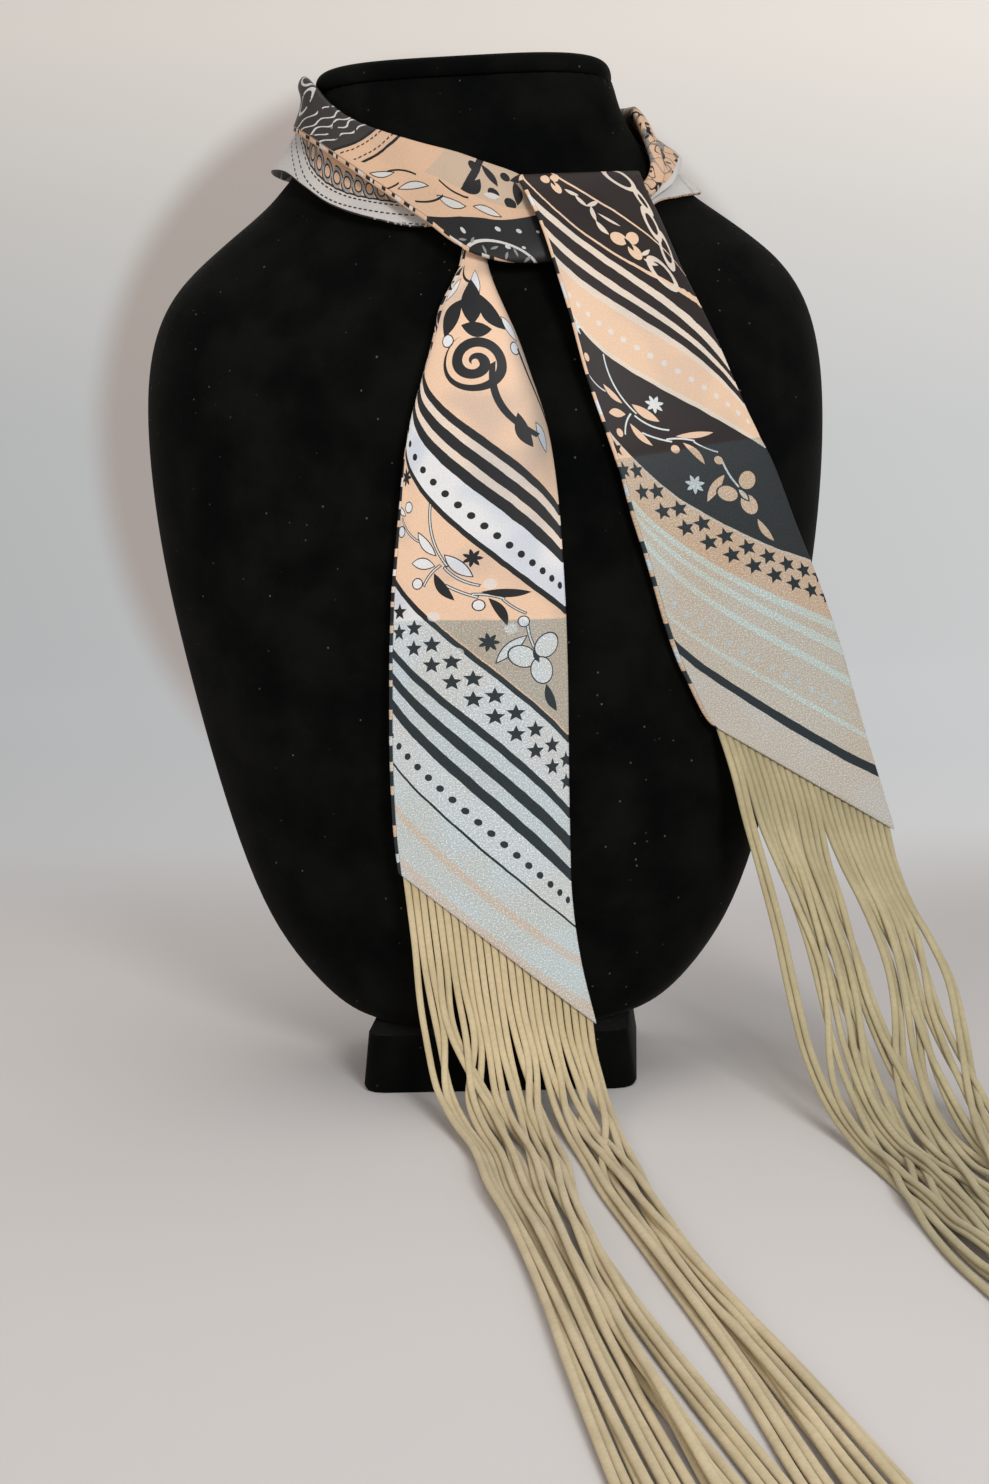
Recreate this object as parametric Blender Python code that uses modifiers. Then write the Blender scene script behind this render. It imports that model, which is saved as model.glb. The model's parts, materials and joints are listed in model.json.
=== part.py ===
"""A skinny satin scarf with long cord fringe, wound once round the neck of a display bust.

Metres, +Z up. The bust stands on z = 0 and faces -Y. The origin is under the middle of its foot.
"Left" and "right" are the viewer's, so left is -X.
"""

import math

import bmesh
import bpy
from mathutils import Vector

SEAM_GAP = 0.0003
CLOTH_WALL = 0.0012
CORDS_PER_END = 24
CORD_LENGTH = 0.300
CORD_WIDTH = 0.0017
CORD_THICKNESS = 0.0012
HEM_STRIP_HEIGHT = 0.0022

FOOT_HEIGHT = 0.0172
NECK_TOP = 0.2975
CAP_TOP = 0.3040
SIDES_ROUND = 40

# Sections of the bust. "side" is the depth of the widest point and "square" the corner exponent.
BUST_COLUMNS = ("height", "half_width", "front", "back", "side", "square")
BUST_SECTIONS = [
    (0.0175, 0.0400, 0.0335, 0.0270, 0.000, 2.5),
    (0.0192, 0.0470, 0.0355, 0.0285, 0.000, 2.4),
    (0.0228, 0.0530, 0.0372, 0.0300, 0.000, 2.3),
    (0.0300, 0.0605, 0.0392, 0.0310, 0.000, 2.2),
    (0.0440, 0.0710, 0.0422, 0.0320, 0.000, 2.2),
    (0.0650, 0.0800, 0.0450, 0.0328, 0.001, 2.2),
    (0.0950, 0.0882, 0.0478, 0.0332, 0.002, 2.2),
    (0.1250, 0.0950, 0.0493, 0.0334, 0.003, 2.2),
    (0.1550, 0.1010, 0.0498, 0.0334, 0.004, 2.2),
    (0.1800, 0.1040, 0.0490, 0.0332, 0.005, 2.2),
    (0.2000, 0.1050, 0.0475, 0.0328, 0.006, 2.2),
    (0.2150, 0.1045, 0.0452, 0.0324, 0.006, 2.1),
    (0.2280, 0.1022, 0.0423, 0.0318, 0.006, 2.0),
    (0.2380, 0.0980, 0.0396, 0.0312, 0.006, 1.9),
    (0.2460, 0.0920, 0.0374, 0.0306, 0.006, 1.8),
    (0.2520, 0.0852, 0.0356, 0.0300, 0.006, 1.7),
    (0.2580, 0.0772, 0.0340, 0.0294, 0.005, 1.7),
    (0.2640, 0.0685, 0.0329, 0.0288, 0.004, 1.7),
    (0.2700, 0.0608, 0.0323, 0.0283, 0.002, 1.8),
    (0.2760, 0.0545, 0.0319, 0.0279, 0.001, 2.0),
    (0.2820, 0.0497, 0.0317, 0.0276, 0.000, 2.3),
    (0.2890, 0.0458, 0.0312, 0.0270, -0.001, 2.8),
    (NECK_TOP, 0.0438, 0.0306, 0.0266, -0.002, 3.2),
]

# The collar's two stretches, folded lengthwise. "angle" runs round the neck from the front, positive
# to the left. Each pair is a distance out from the bust and a height: the fold on top, the crease
# below it, the outer half's free edge, and the inner half's lower edge. "tuck" rolls the edge under.
COLLAR_COLUMNS = ("angle", "top_out", "top", "crease_out", "crease", "edge_out", "edge", "low_out", "low", "tuck")
COLLAR_LEFT = [
    (180, 0.0012, 0.2945, 0.0040, 0.2870, 0.0048, 0.2800, 0.0014, 0.2735, 0.000),
    (150, 0.0014, 0.2975, 0.0044, 0.2900, 0.0052, 0.2830, 0.0018, 0.2745, 0.000),
    (120, 0.0030, 0.3015, 0.0050, 0.2945, 0.0058, 0.2870, 0.0034, 0.2765, 0.000),
    (95, 0.0032, 0.3035, 0.0050, 0.2970, 0.0058, 0.2895, 0.0042, 0.2780, 0.000),
    (78, 0.0032, 0.3025, 0.0054, 0.2955, 0.0062, 0.2880, 0.0048, 0.2765, 0.000),
    (62, 0.0026, 0.2980, 0.0064, 0.2915, 0.0078, 0.2855, 0.0052, 0.2735, 0.000),
    (48, 0.0024, 0.2920, 0.0076, 0.2855, 0.0092, 0.2812, 0.0056, 0.2680, 0.000),
    (35, 0.0024, 0.2865, 0.0084, 0.2790, 0.0100, 0.2745, 0.0056, 0.2612, 0.000),
    (22, 0.0027, 0.2815, 0.0090, 0.2715, 0.0104, 0.2655, 0.0054, 0.2562, 0.000),
    (11, 0.0030, 0.2775, 0.0096, 0.2672, 0.0104, 0.2568, 0.0042, 0.2545, 0.000),
    (2, 0.0034, 0.2745, 0.0100, 0.2638, 0.0100, 0.2485, 0.0036, 0.2570, 0.000),
    (-7, 0.0038, 0.2712, 0.0104, 0.2610, 0.0096, 0.2432, 0.0036, 0.2600, 0.001),
    (-15, 0.0042, 0.2680, 0.0106, 0.2585, 0.0094, 0.2424, 0.0036, 0.2610, 0.003),
    (-21, 0.0052, 0.2640, 0.0100, 0.2565, 0.0090, 0.2440, 0.0050, 0.2590, 0.003),
    (-26, 0.0056, 0.2620, 0.0096, 0.2555, 0.0084, 0.2455, 0.0054, 0.2575, 0.002),
]
COLLAR_RIGHT = [
    (-180, 0.0012, 0.2945, 0.0040, 0.2870, 0.0048, 0.2800, 0.0014, 0.2735, 0.000),
    (-150, 0.0014, 0.2950, 0.0042, 0.2875, 0.0052, 0.2800, 0.0016, 0.2710, 0.000),
    (-125, 0.0022, 0.2945, 0.0044, 0.2870, 0.0064, 0.2790, 0.0024, 0.2700, 0.000),
    (-105, 0.0024, 0.2930, 0.0046, 0.2856, 0.0076, 0.2775, 0.0022, 0.2672, 0.000),
    (-90, 0.0028, 0.2910, 0.0048, 0.2838, 0.0080, 0.2762, 0.0026, 0.2660, 0.000),
    (-80, 0.0032, 0.2862, 0.0054, 0.2800, 0.0078, 0.2740, 0.0024, 0.2650, 0.000),
    (-71, 0.0032, 0.2795, 0.0050, 0.2750, 0.0066, 0.2706, 0.0022, 0.2641, 0.000),
    (-62, 0.0028, 0.2718, 0.0042, 0.2692, 0.0050, 0.2664, 0.0018, 0.2629, 0.000),
    (-50, 0.0022, 0.2650, 0.0034, 0.2634, 0.0038, 0.2618, 0.0016, 0.2604, 0.000),
    (-35, 0.0018, 0.2585, 0.0030, 0.2565, 0.0032, 0.2545, 0.0014, 0.2520, 0.000),
    (-20, 0.0018, 0.2545, 0.0030, 0.2520, 0.0032, 0.2495, 0.0014, 0.2465, 0.000),
    (-8, 0.0018, 0.2525, 0.0030, 0.2500, 0.0032, 0.2480, 0.0014, 0.2450, 0.000),
    (-1, 0.0018, 0.2515, 0.0030, 0.2490, 0.0032, 0.2470, 0.0014, 0.2440, 0.000),
]

# The tails' sections, from the knot to the diagonal hem: both edges, how far the edges curl round
# behind, and how far the middle stands proud of them.
TAIL_COLUMNS = ("left_x", "left_y", "left_z", "right_x", "right_y", "right_z", "curl", "bow")
TAIL_LEFT = [
    (0.0000, -0.0417, 0.2480, 0.0055, -0.0417, 0.2480, 110, 0.0008),
    (-0.0012, -0.0431, 0.2420, 0.0062, -0.0431, 0.2420, 120, 0.0010),
    (-0.0038, -0.0462, 0.2360, 0.0080, -0.0462, 0.2360, 140, 0.0018),
    (-0.0068, -0.0484, 0.2300, 0.0104, -0.0484, 0.2300, 140, 0.0024),
    (-0.0092, -0.0510, 0.2200, 0.0145, -0.0510, 0.2200, 125, 0.0027),
    (-0.0126, -0.0525, 0.2090, 0.0180, -0.0525, 0.2090, 110, 0.0026),
    (-0.0158, -0.0533, 0.1990, 0.0210, -0.0533, 0.1990, 95, 0.0024),
    (-0.0182, -0.0538, 0.1880, 0.0230, -0.0538, 0.1880, 85, 0.0022),
    (-0.0202, -0.0540, 0.1740, 0.0243, -0.0540, 0.1740, 75, 0.0020),
    (-0.0220, -0.0540, 0.1610, 0.0249, -0.0540, 0.1600, 65, 0.0018),
    (-0.0237, -0.0539, 0.1480, 0.0252, -0.0539, 0.1430, 60, 0.0014),
    (-0.0247, -0.0537, 0.1350, 0.0251, -0.0537, 0.1240, 60, 0.0012),
    (-0.0254, -0.0536, 0.1200, 0.0246, -0.0536, 0.1030, 60, 0.0012),
    (-0.0260, -0.0535, 0.1060, 0.0242, -0.0535, 0.0820, 60, 0.0012),
    (-0.0262, -0.0535, 0.0930, 0.0242, -0.0535, 0.0610, 60, 0.0012),
    (-0.0260, -0.0535, 0.0800, 0.0262, -0.0535, 0.0420, 60, 0.0012),
    (-0.0252, -0.0535, 0.0690, 0.0300, -0.0535, 0.0236, 60, 0.0012),
]
TAIL_RIGHT = [
    (0.0180, -0.0402, 0.2640, 0.0482, -0.0214, 0.2668, 40, 0.0010),
    (0.0172, -0.0410, 0.2655, 0.0490, -0.0216, 0.2682, 40, 0.0012),
    (0.0166, -0.0428, 0.2660, 0.0496, -0.0228, 0.2686, 50, 0.0014),
    (0.0166, -0.0448, 0.2642, 0.0503, -0.0246, 0.2668, 60, 0.0016),
    (0.0188, -0.0466, 0.2600, 0.0520, -0.0268, 0.2622, 70, 0.0018),
    (0.0226, -0.0482, 0.2510, 0.0554, -0.0292, 0.2545, 75, 0.0020),
    (0.0263, -0.0498, 0.2385, 0.0586, -0.0318, 0.2460, 75, 0.0022),
    (0.0296, -0.0508, 0.2269, 0.0617, -0.0335, 0.2380, 75, 0.0022),
    (0.0340, -0.0512, 0.2089, 0.0695, -0.0352, 0.2203, 70, 0.0022),
    (0.0391, -0.0508, 0.1931, 0.0775, -0.0352, 0.2006, 65, 0.0020),
    (0.0424, -0.0502, 0.1828, 0.0822, -0.0345, 0.1907, 60, 0.0018),
    (0.0451, -0.0492, 0.1703, 0.0863, -0.0335, 0.1816, 60, 0.0016),
    (0.0492, -0.0475, 0.1553, 0.0920, -0.0310, 0.1655, 55, 0.0014),
    (0.0535, -0.0450, 0.1380, 0.0995, -0.0265, 0.1460, 50, 0.0012),
    (0.0570, -0.0430, 0.1270, 0.1050, -0.0225, 0.1290, 50, 0.0012),
    (0.0600, -0.0415, 0.1200, 0.1092, -0.0195, 0.1130, 50, 0.0012),
    (0.0630, -0.0402, 0.1132, 0.1140, -0.0180, 0.0950, 50, 0.0012),
    (0.0650, -0.0395, 0.1096, 0.1175, -0.0180, 0.0825, 50, 0.0012),
    (0.0670, -0.0390, 0.1073, 0.1203, -0.0180, 0.0724, 50, 0.0012),
]

# Where the outermost cords of each fringe pass, from just under the hem to far out on the table.
FRINGE_COLUMNS = ("left_x", "left_y", "left_z", "right_x", "right_y", "right_z")
FRINGE_LEFT = [
    (-0.0228, -0.0542, 0.0500, 0.0302, -0.0552, 0.0160),
    (-0.0213, -0.0562, 0.0352, 0.0318, -0.0600, 0.0095),
    (-0.0188, -0.0600, 0.0214, 0.0336, -0.0690, 0.0048),
    (-0.0154, -0.0680, 0.0092, 0.0358, -0.0820, 0.0022),
    (-0.0100, -0.0820, 0.0030, 0.0389, -0.1000, 0.0011),
    (-0.0029, -0.1040, 0.0011, 0.0424, -0.1200, 0.0011),
    (0.0028, -0.1340, 0.0011, 0.0460, -0.1400, 0.0011),
    (0.0107, -0.1640, 0.0011, 0.0510, -0.1660, 0.0011),
    (0.0190, -0.2030, 0.0011, 0.0605, -0.2030, 0.0011),
    (0.0265, -0.2450, 0.0011, 0.0738, -0.2450, 0.0011),
    (0.0355, -0.2920, 0.0011, 0.0870, -0.2880, 0.0011),
    (0.0480, -0.3500, 0.0011, 0.1040, -0.3450, 0.0011),
]
FRINGE_RIGHT = [
    (0.0712, -0.0408, 0.0951, 0.1217, -0.0205, 0.0620),
    (0.0742, -0.0430, 0.0818, 0.1252, -0.0270, 0.0505),
    (0.0777, -0.0460, 0.0680, 0.1300, -0.0370, 0.0410),
    (0.0821, -0.0510, 0.0492, 0.1335, -0.0480, 0.0320),
    (0.0851, -0.0590, 0.0325, 0.1352, -0.0620, 0.0220),
    (0.0882, -0.0710, 0.0180, 0.1364, -0.0790, 0.0120),
    (0.0930, -0.0880, 0.0070, 0.1380, -0.0980, 0.0045),
    (0.0985, -0.1080, 0.0018, 0.1405, -0.1180, 0.0013),
    (0.1030, -0.1280, 0.0011, 0.1440, -0.1400, 0.0011),
    (0.1062, -0.1480, 0.0011, 0.1480, -0.1620, 0.0011),
    (0.1115, -0.1850, 0.0011, 0.1560, -0.2000, 0.0011),
    (0.1170, -0.2110, 0.0011, 0.1620, -0.2300, 0.0011),
    (0.1290, -0.2700, 0.0011, 0.1740, -0.2900, 0.0011),
]


def clear_scene():
    for old in list(bpy.data.objects):
        bpy.data.objects.remove(old, do_unlink=True)


def finish(name, colour, roughness, metallic=0.0):
    """A plain Principled material."""
    made = bpy.data.materials.new(name)
    made.use_nodes = True
    shader = made.node_tree.nodes["Principled BSDF"]
    shader.inputs["Base Color"].default_value = (*colour, 1.0)
    shader.inputs["Roughness"].default_value = roughness
    shader.inputs["Metallic"].default_value = metallic
    return made


def between(rows, position):
    """A row part way along a table, on the smooth curve through its rows."""
    last = len(rows) - 1
    index = min(int(position), last - 1)
    t = position - index
    before, first, second, after = (rows[min(max(index + k, 0), last)] for k in (-1, 0, 1, 2))
    return [
        0.5 * (2 * b + (c - a) * t + (2 * a - 5 * b + 4 * c - d) * t**2 + (3 * b - a - 3 * c + d) * t**3)
        for a, b, c, d in zip(before, first, second, after)
    ]


def refine(rows, steps):
    """The table with this many steps from each row to the next."""
    count = (len(rows) - 1) * steps
    return [between(rows, k / steps) for k in range(count + 1)]


def add_node(name, mesh, material, collection):
    made = bpy.data.objects.new(name, mesh)
    mesh.materials.append(material)
    mesh.shade_smooth()
    mesh.set_sharp_from_angle(angle=math.radians(40))
    collection.objects.link(made)
    return made


def sheet_mesh(name, grid):
    """An open surface through rows of points."""
    sheet = bmesh.new()
    rows = [[sheet.verts.new(point) for point in row] for row in grid]
    for upper, lower in zip(rows, rows[1:]):
        for k in range(len(upper) - 1):
            sheet.faces.new((upper[k], upper[k + 1], lower[k + 1], lower[k]))
    mesh = bpy.data.meshes.new(name)
    sheet.to_mesh(mesh)
    sheet.free()
    return mesh


def loft_mesh(name, rings):
    """A closed body through rings of points, with flat ends."""
    body = bmesh.new()
    loops = [[body.verts.new(point) for point in ring] for ring in rings]
    for lower, upper in zip(loops, loops[1:]):
        for k in range(len(lower)):
            following = (k + 1) % len(lower)
            body.faces.new((lower[k], lower[following], upper[following], upper[k]))
    body.faces.new(list(reversed(loops[0])))
    body.faces.new(loops[-1])
    bmesh.ops.recalc_face_normals(body, faces=body.faces)
    mesh = bpy.data.meshes.new(name)
    body.to_mesh(mesh)
    body.free()
    return mesh


def add_cloth(name, grid, material, collection):
    """Cloth of even thickness, half of it on each side of the surface through the grid."""
    made = add_node(name, sheet_mesh(name, grid), material, collection)
    solidify = made.modifiers.new("Thickness", "SOLIDIFY")
    solidify.thickness = CLOTH_WALL
    solidify.offset = 0.0
    return made


def bust_section(height):
    """The bust's section at a height, as a dictionary of BUST_COLUMNS."""
    heights = [row[0] for row in BUST_SECTIONS]
    if height <= heights[0]:
        return dict(zip(BUST_COLUMNS, BUST_SECTIONS[0]))
    if height >= heights[-1]:
        return dict(zip(BUST_COLUMNS, BUST_SECTIONS[-1]))
    index = max(k for k, start in enumerate(heights) if start <= height)
    part = (height - heights[index]) / (heights[index + 1] - heights[index])
    return dict(zip(BUST_COLUMNS, between(BUST_SECTIONS, index + part)))


def bust_point(angle, height, out=0.0):
    """A point round the bust at this angle from its front, moved straight out from its surface."""
    section = bust_section(height)
    power = 2.0 / section["square"]

    def on_section(turn):
        sine, cosine = math.sin(turn), math.cos(turn)
        depth = section["front"] + section["side"] if cosine > 0 else section["back"] - section["side"]
        x = -math.copysign(abs(sine) ** power, sine) * section["half_width"]
        y = section["side"] - math.copysign(abs(cosine) ** power, cosine) * depth
        return Vector((x, y, height))

    turn = math.radians(angle)
    step = math.radians(2.0)
    along = on_section(turn + step) - on_section(turn - step)
    outward = Vector((-along.y, along.x, 0.0)).normalized()
    return on_section(turn) + outward * out


def add_bust(collection, velvet):
    turns = [360.0 * k / SIDES_ROUND for k in range(SIDES_ROUND)]
    rings = [[bust_point(turn, row[0]) for turn in turns] for row in BUST_SECTIONS]
    add_node("bust_body", loft_mesh("bust_body", rings), velvet, collection)

    roll = (
        (SEAM_GAP, -0.0004),
        (0.0010, 0.0006),
        (0.0026, 0.0010),
        (0.0044, 0.0006),
        (0.0058, -0.0010),
        (CAP_TOP - NECK_TOP, -0.0040),
    )
    cap = []
    for rise, out in roll:
        flat = [bust_point(turn, NECK_TOP, out) for turn in turns]
        cap.append([point + Vector((0.0, 0.0, rise)) for point in flat])
    add_node("bust_cap", loft_mesh("bust_cap", cap), velvet, collection)


def add_foot(collection, velvet):
    """A block that widens a little towards the surface it stands on."""
    sections = ((0.0, 0.0405, 0.0365), (0.0014, 0.0412, 0.0372), (FOOT_HEIGHT, 0.0393, 0.0353))
    corner = 0.006
    rings = []
    for height, half_width, half_depth in sections:
        ring = []
        for corner_turn in (0, 90, 180, 270):
            turn = math.radians(corner_turn + 45)
            centre_x = math.copysign(half_width - corner, math.cos(turn))
            centre_y = math.copysign(half_depth - corner, math.sin(turn)) - 0.0030
            for k in range(4):
                bend = math.radians(corner_turn + 30 * k)
                ring.append((centre_x + corner * math.cos(bend), centre_y + corner * math.sin(bend), height))
        rings.append(ring)
    add_node("bust_foot", loft_mesh("bust_foot", rings), velvet, collection)


def collar_grid(rows):
    """Sections of a stretch folded lengthwise: up the outer half, over the fold, down the inner half."""
    fold = 0.0015
    grid = []
    for values in refine(rows, 2):
        row = dict(zip(COLLAR_COLUMNS, values))
        path = [
            (row["edge_out"] - row["tuck"], row["edge"]),
            (row["edge_out"], row["edge"] + 0.0015),
            (row["crease_out"], row["crease"]),
            (row["top_out"] + 2 * fold, row["top"] - 1.6 * fold),
            (row["top_out"] + fold, row["top"]),
            (row["top_out"], row["top"] - 1.6 * fold),
            (0.6 * row["top_out"] + 0.4 * row["low_out"], 0.5 * row["top"] + 0.5 * row["low"]),
            (row["low_out"], row["low"]),
        ]
        grid.append([bust_point(row["angle"], height, out) for out, height in refine(path, 2)])
    nape_gap = Vector((math.copysign(0.7 * SEAM_GAP, rows[0][0]), 0.0, 0.0))
    grid[0] = [point - nape_gap for point in grid[0]]
    return grid


def tail_grid(rows):
    """Sections across a tail: an elliptic arc from edge to edge, bowed forward."""
    across = 8
    grid = []
    for values in refine(rows, 2):
        row = dict(zip(TAIL_COLUMNS, values))
        left = Vector((row["left_x"], row["left_y"], row["left_z"]))
        right = Vector((row["right_x"], row["right_y"], row["right_z"]))
        middle, chord = (left + right) / 2, right - left
        forward = Vector((chord.y, -chord.x, 0.0)).normalized()
        curl = math.radians(row["curl"])
        reach = 1.0 / math.sin(min(curl, math.pi / 2))
        section = []
        for k in range(across + 1):
            turn = curl * (2 * k / across - 1)
            section.append(middle + chord * (reach * math.sin(turn) / 2) + forward * (row["bow"] * math.cos(turn)))
        grid.append(section)
    return grid


def cord_paths(hem, rows):
    """The middle line of each cord, from its root on the hem strip to its cut end."""
    paths = []
    for number in range(CORDS_PER_END):
        share = (number + 0.5) / CORDS_PER_END
        points = [hem[0].lerp(hem[1], share)]
        for values in rows:
            row = dict(zip(FRINGE_COLUMNS, values))
            left = Vector((row["left_x"], row["left_y"], row["left_z"]))
            right = Vector((row["right_x"], row["right_y"], row["right_z"]))
            points.append(left.lerp(right, share))
        paths.append(cut_to_length(points, CORD_LENGTH))
    return paths


def cut_to_length(points, length):
    kept, gone = [points[0]], 0.0
    for start, end in zip(points, points[1:]):
        run = (end - start).length
        if gone + run >= length:
            kept.append(start.lerp(end, (length - gone) / run))
            return kept
        kept.append(end)
        gone += run
    return kept


def cord_rings(path, lift):
    """Four-cornered rings along a cord. "lift" moves it off the layer below as the cords draw together."""
    rings = []
    for number in range(1, len(path)):
        ahead = path[min(number + 1, len(path) - 1)]
        along = (ahead - path[number - 1]).normalized()
        side = along.cross(Vector((0.0, -0.7, 0.7))).normalized()
        outward = side.cross(along).normalized()
        middle = path[number] + outward * lift * min(number / 4.0, 1.0)
        half_side, half_out = side * CORD_WIDTH / 2, outward * CORD_THICKNESS / 2
        rings.append([middle + s * half_side + o * half_out for s, o in ((-1, -1), (1, -1), (1, 1), (-1, 1))])
    return rings


def add_fringe(name, hem, rows, material, collection):
    """A narrow strip under the hem's edge, with the cords drawn out of its lower face."""
    left, right = hem
    slope = (right - left).normalized()
    forward = Vector((slope.y, -slope.x, 0.0)).normalized() * CORD_THICKNESS / 2
    down = Vector((0.0, 0.0, -HEM_STRIP_HEIGHT))
    body = bmesh.new()
    stations = []
    for number in range(CORDS_PER_END):
        centre = (number + 0.5) / CORDS_PER_END
        half = 0.5 * CORD_WIDTH / abs((right - left).xy.length)
        stations += [centre - half, centre + half]
    columns = []
    for share in stations:
        top = left.lerp(right, share)
        columns.append([body.verts.new(top + offset) for offset in (forward, -forward, down - forward, down + forward)])
    for first, second in zip(columns, columns[1:]):
        for k in (0, 1, 3):
            after = (k + 1) % 4
            body.faces.new((first[k], first[after], second[after], second[k]))
    for number, path in enumerate(cord_paths((left + down, right + down), rows)):
        first, second = columns[2 * number], columns[2 * number + 1]
        ring = [first[2], second[2], second[3], first[3]]
        lift = 0.0016 if number % 2 else 0.0
        for points in cord_rings(path, lift):
            following = [body.verts.new(point) for point in points]
            for k in range(4):
                after = (k + 1) % 4
                body.faces.new((ring[k], ring[after], following[after], following[k]))
            ring = following
        body.faces.new(ring)
    for number in range(CORDS_PER_END - 1):
        first, second = columns[2 * number + 1], columns[2 * number + 2]
        body.faces.new((first[2], second[2], second[3], first[3]))
    body.faces.new(columns[0])
    body.faces.new(columns[-1])
    bmesh.ops.recalc_face_normals(body, faces=body.faces)
    mesh = bpy.data.meshes.new(name)
    body.to_mesh(mesh)
    body.free()
    add_node(name, mesh, material, collection)


def hem_line(rows):
    """The lower edge of a tail, moved down until the seam gap is left."""
    row = dict(zip(TAIL_COLUMNS, rows[-1]))
    left = Vector((row["left_x"], row["left_y"], row["left_z"]))
    right = Vector((row["right_x"], row["right_y"], row["right_z"]))
    slope = right - left
    drop = Vector((0.0, 0.0, -1.5 * SEAM_GAP * slope.length / slope.xy.length))
    return left + drop, right + drop


def main():
    clear_scene()
    scarf = bpy.data.collections.new("scarf_on_bust")
    bpy.context.scene.collection.children.link(scarf)
    satin = finish("satin", (0.62, 0.55, 0.48), 0.35)
    suede = finish("suede_cord", (0.50, 0.43, 0.27), 0.85)
    velvet = finish("velvet", (0.010, 0.010, 0.012), 0.95)
    add_bust(scarf, velvet)
    add_foot(scarf, velvet)
    add_cloth("collar_left", collar_grid(COLLAR_LEFT), satin, scarf)
    add_cloth("collar_right", collar_grid(COLLAR_RIGHT), satin, scarf)
    add_cloth("tail_left", tail_grid(TAIL_LEFT), satin, scarf)
    add_cloth("tail_right", tail_grid(TAIL_RIGHT), satin, scarf)
    add_fringe("fringe_left", hem_line(TAIL_LEFT), FRINGE_LEFT, suede, scarf)
    add_fringe("fringe_right", hem_line(TAIL_RIGHT), FRINGE_RIGHT, suede, scarf)


main()
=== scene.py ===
# %% [markdown]
# # A skinny satin scarf on a display bust
# The scarf is a narrow printed tube of satin with long cord fringe, wound once round the neck and half
# knotted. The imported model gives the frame: every length here is in metres, +Z is up and -Y is the front.

# %% Load the frame
import json
import math
import random

import bpy
import numpy as np
from mathutils import Matrix, Vector

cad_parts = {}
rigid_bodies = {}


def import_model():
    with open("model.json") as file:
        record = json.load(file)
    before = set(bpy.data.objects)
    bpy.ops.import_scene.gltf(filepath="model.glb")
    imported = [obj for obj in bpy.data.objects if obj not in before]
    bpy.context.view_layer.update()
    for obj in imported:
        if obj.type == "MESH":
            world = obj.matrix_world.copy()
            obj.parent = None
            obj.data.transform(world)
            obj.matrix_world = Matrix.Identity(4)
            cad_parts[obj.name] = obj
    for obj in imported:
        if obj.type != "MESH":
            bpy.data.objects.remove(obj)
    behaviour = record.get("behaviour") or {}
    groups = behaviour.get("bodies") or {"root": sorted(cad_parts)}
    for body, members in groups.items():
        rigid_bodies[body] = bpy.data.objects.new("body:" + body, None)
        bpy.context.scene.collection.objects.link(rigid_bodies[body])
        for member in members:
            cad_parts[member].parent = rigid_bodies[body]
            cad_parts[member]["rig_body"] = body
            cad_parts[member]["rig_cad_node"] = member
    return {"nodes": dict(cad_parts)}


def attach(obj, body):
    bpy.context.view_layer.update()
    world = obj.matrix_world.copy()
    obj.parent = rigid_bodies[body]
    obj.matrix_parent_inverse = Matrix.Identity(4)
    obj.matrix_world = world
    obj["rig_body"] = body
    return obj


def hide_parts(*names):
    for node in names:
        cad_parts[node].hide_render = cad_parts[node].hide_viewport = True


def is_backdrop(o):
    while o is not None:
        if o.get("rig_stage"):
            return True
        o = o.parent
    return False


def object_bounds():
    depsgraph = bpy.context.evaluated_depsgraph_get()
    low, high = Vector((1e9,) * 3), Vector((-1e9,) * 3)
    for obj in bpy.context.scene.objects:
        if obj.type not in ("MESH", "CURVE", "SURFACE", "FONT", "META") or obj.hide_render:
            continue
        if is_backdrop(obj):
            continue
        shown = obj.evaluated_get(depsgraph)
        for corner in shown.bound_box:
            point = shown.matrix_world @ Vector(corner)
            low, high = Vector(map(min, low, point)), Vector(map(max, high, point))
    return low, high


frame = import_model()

cad_box = [list(corner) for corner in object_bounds()]
bpy.ops.object.select_all(action="DESELECT")
print("CAD box", [[round(x, 4) for x in corner] for corner in cad_box])

# %% [markdown]
# ## The camera
# A portrait lens of 50 mm stands 0.64 m in front of the bust at about the height of its middle. It looks
# a few degrees down and is held a little askew, so its axes are built from three turns and not aimed.

# %% Camera
TURN, PITCH, ROLL = math.radians(4.1), math.radians(6.25), math.radians(2.28)
level_ahead = Vector((-math.sin(TURN), math.cos(TURN), 0.0))
level_right = Vector((math.cos(TURN), math.sin(TURN), 0.0))
ahead = level_ahead * math.cos(PITCH) - Vector((0, 0, 1)) * math.sin(PITCH)
above = level_ahead * math.sin(PITCH) + Vector((0, 0, 1)) * math.cos(PITCH)
right = level_right * math.cos(ROLL) - above * math.sin(ROLL)
up = above * math.cos(ROLL) + level_right * math.sin(ROLL)
bpy.ops.object.camera_add()
camera = bpy.context.object
camera.name = "camera"
camera.data.lens, camera.data.sensor_width = 50.0, 36.0
camera.data.clip_start = 0.01
stand = Matrix.Translation((0.04585, -0.63966, 0.1709))
camera.matrix_world = stand @ Matrix((right, up, -ahead)).transposed().to_4x4()
bpy.context.scene.camera = camera
bpy.context.scene.view_settings.view_transform = "Standard"
print("camera at", tuple(round(x, 3) for x in camera.location))

# %% [markdown]
# ## Shader maths in Python
# A print that is drawn with nodes needs much arithmetic. This class wraps one socket of a node tree, so
# that a sum written in Python adds its Math nodes by itself, and one method adds any other node.


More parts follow.
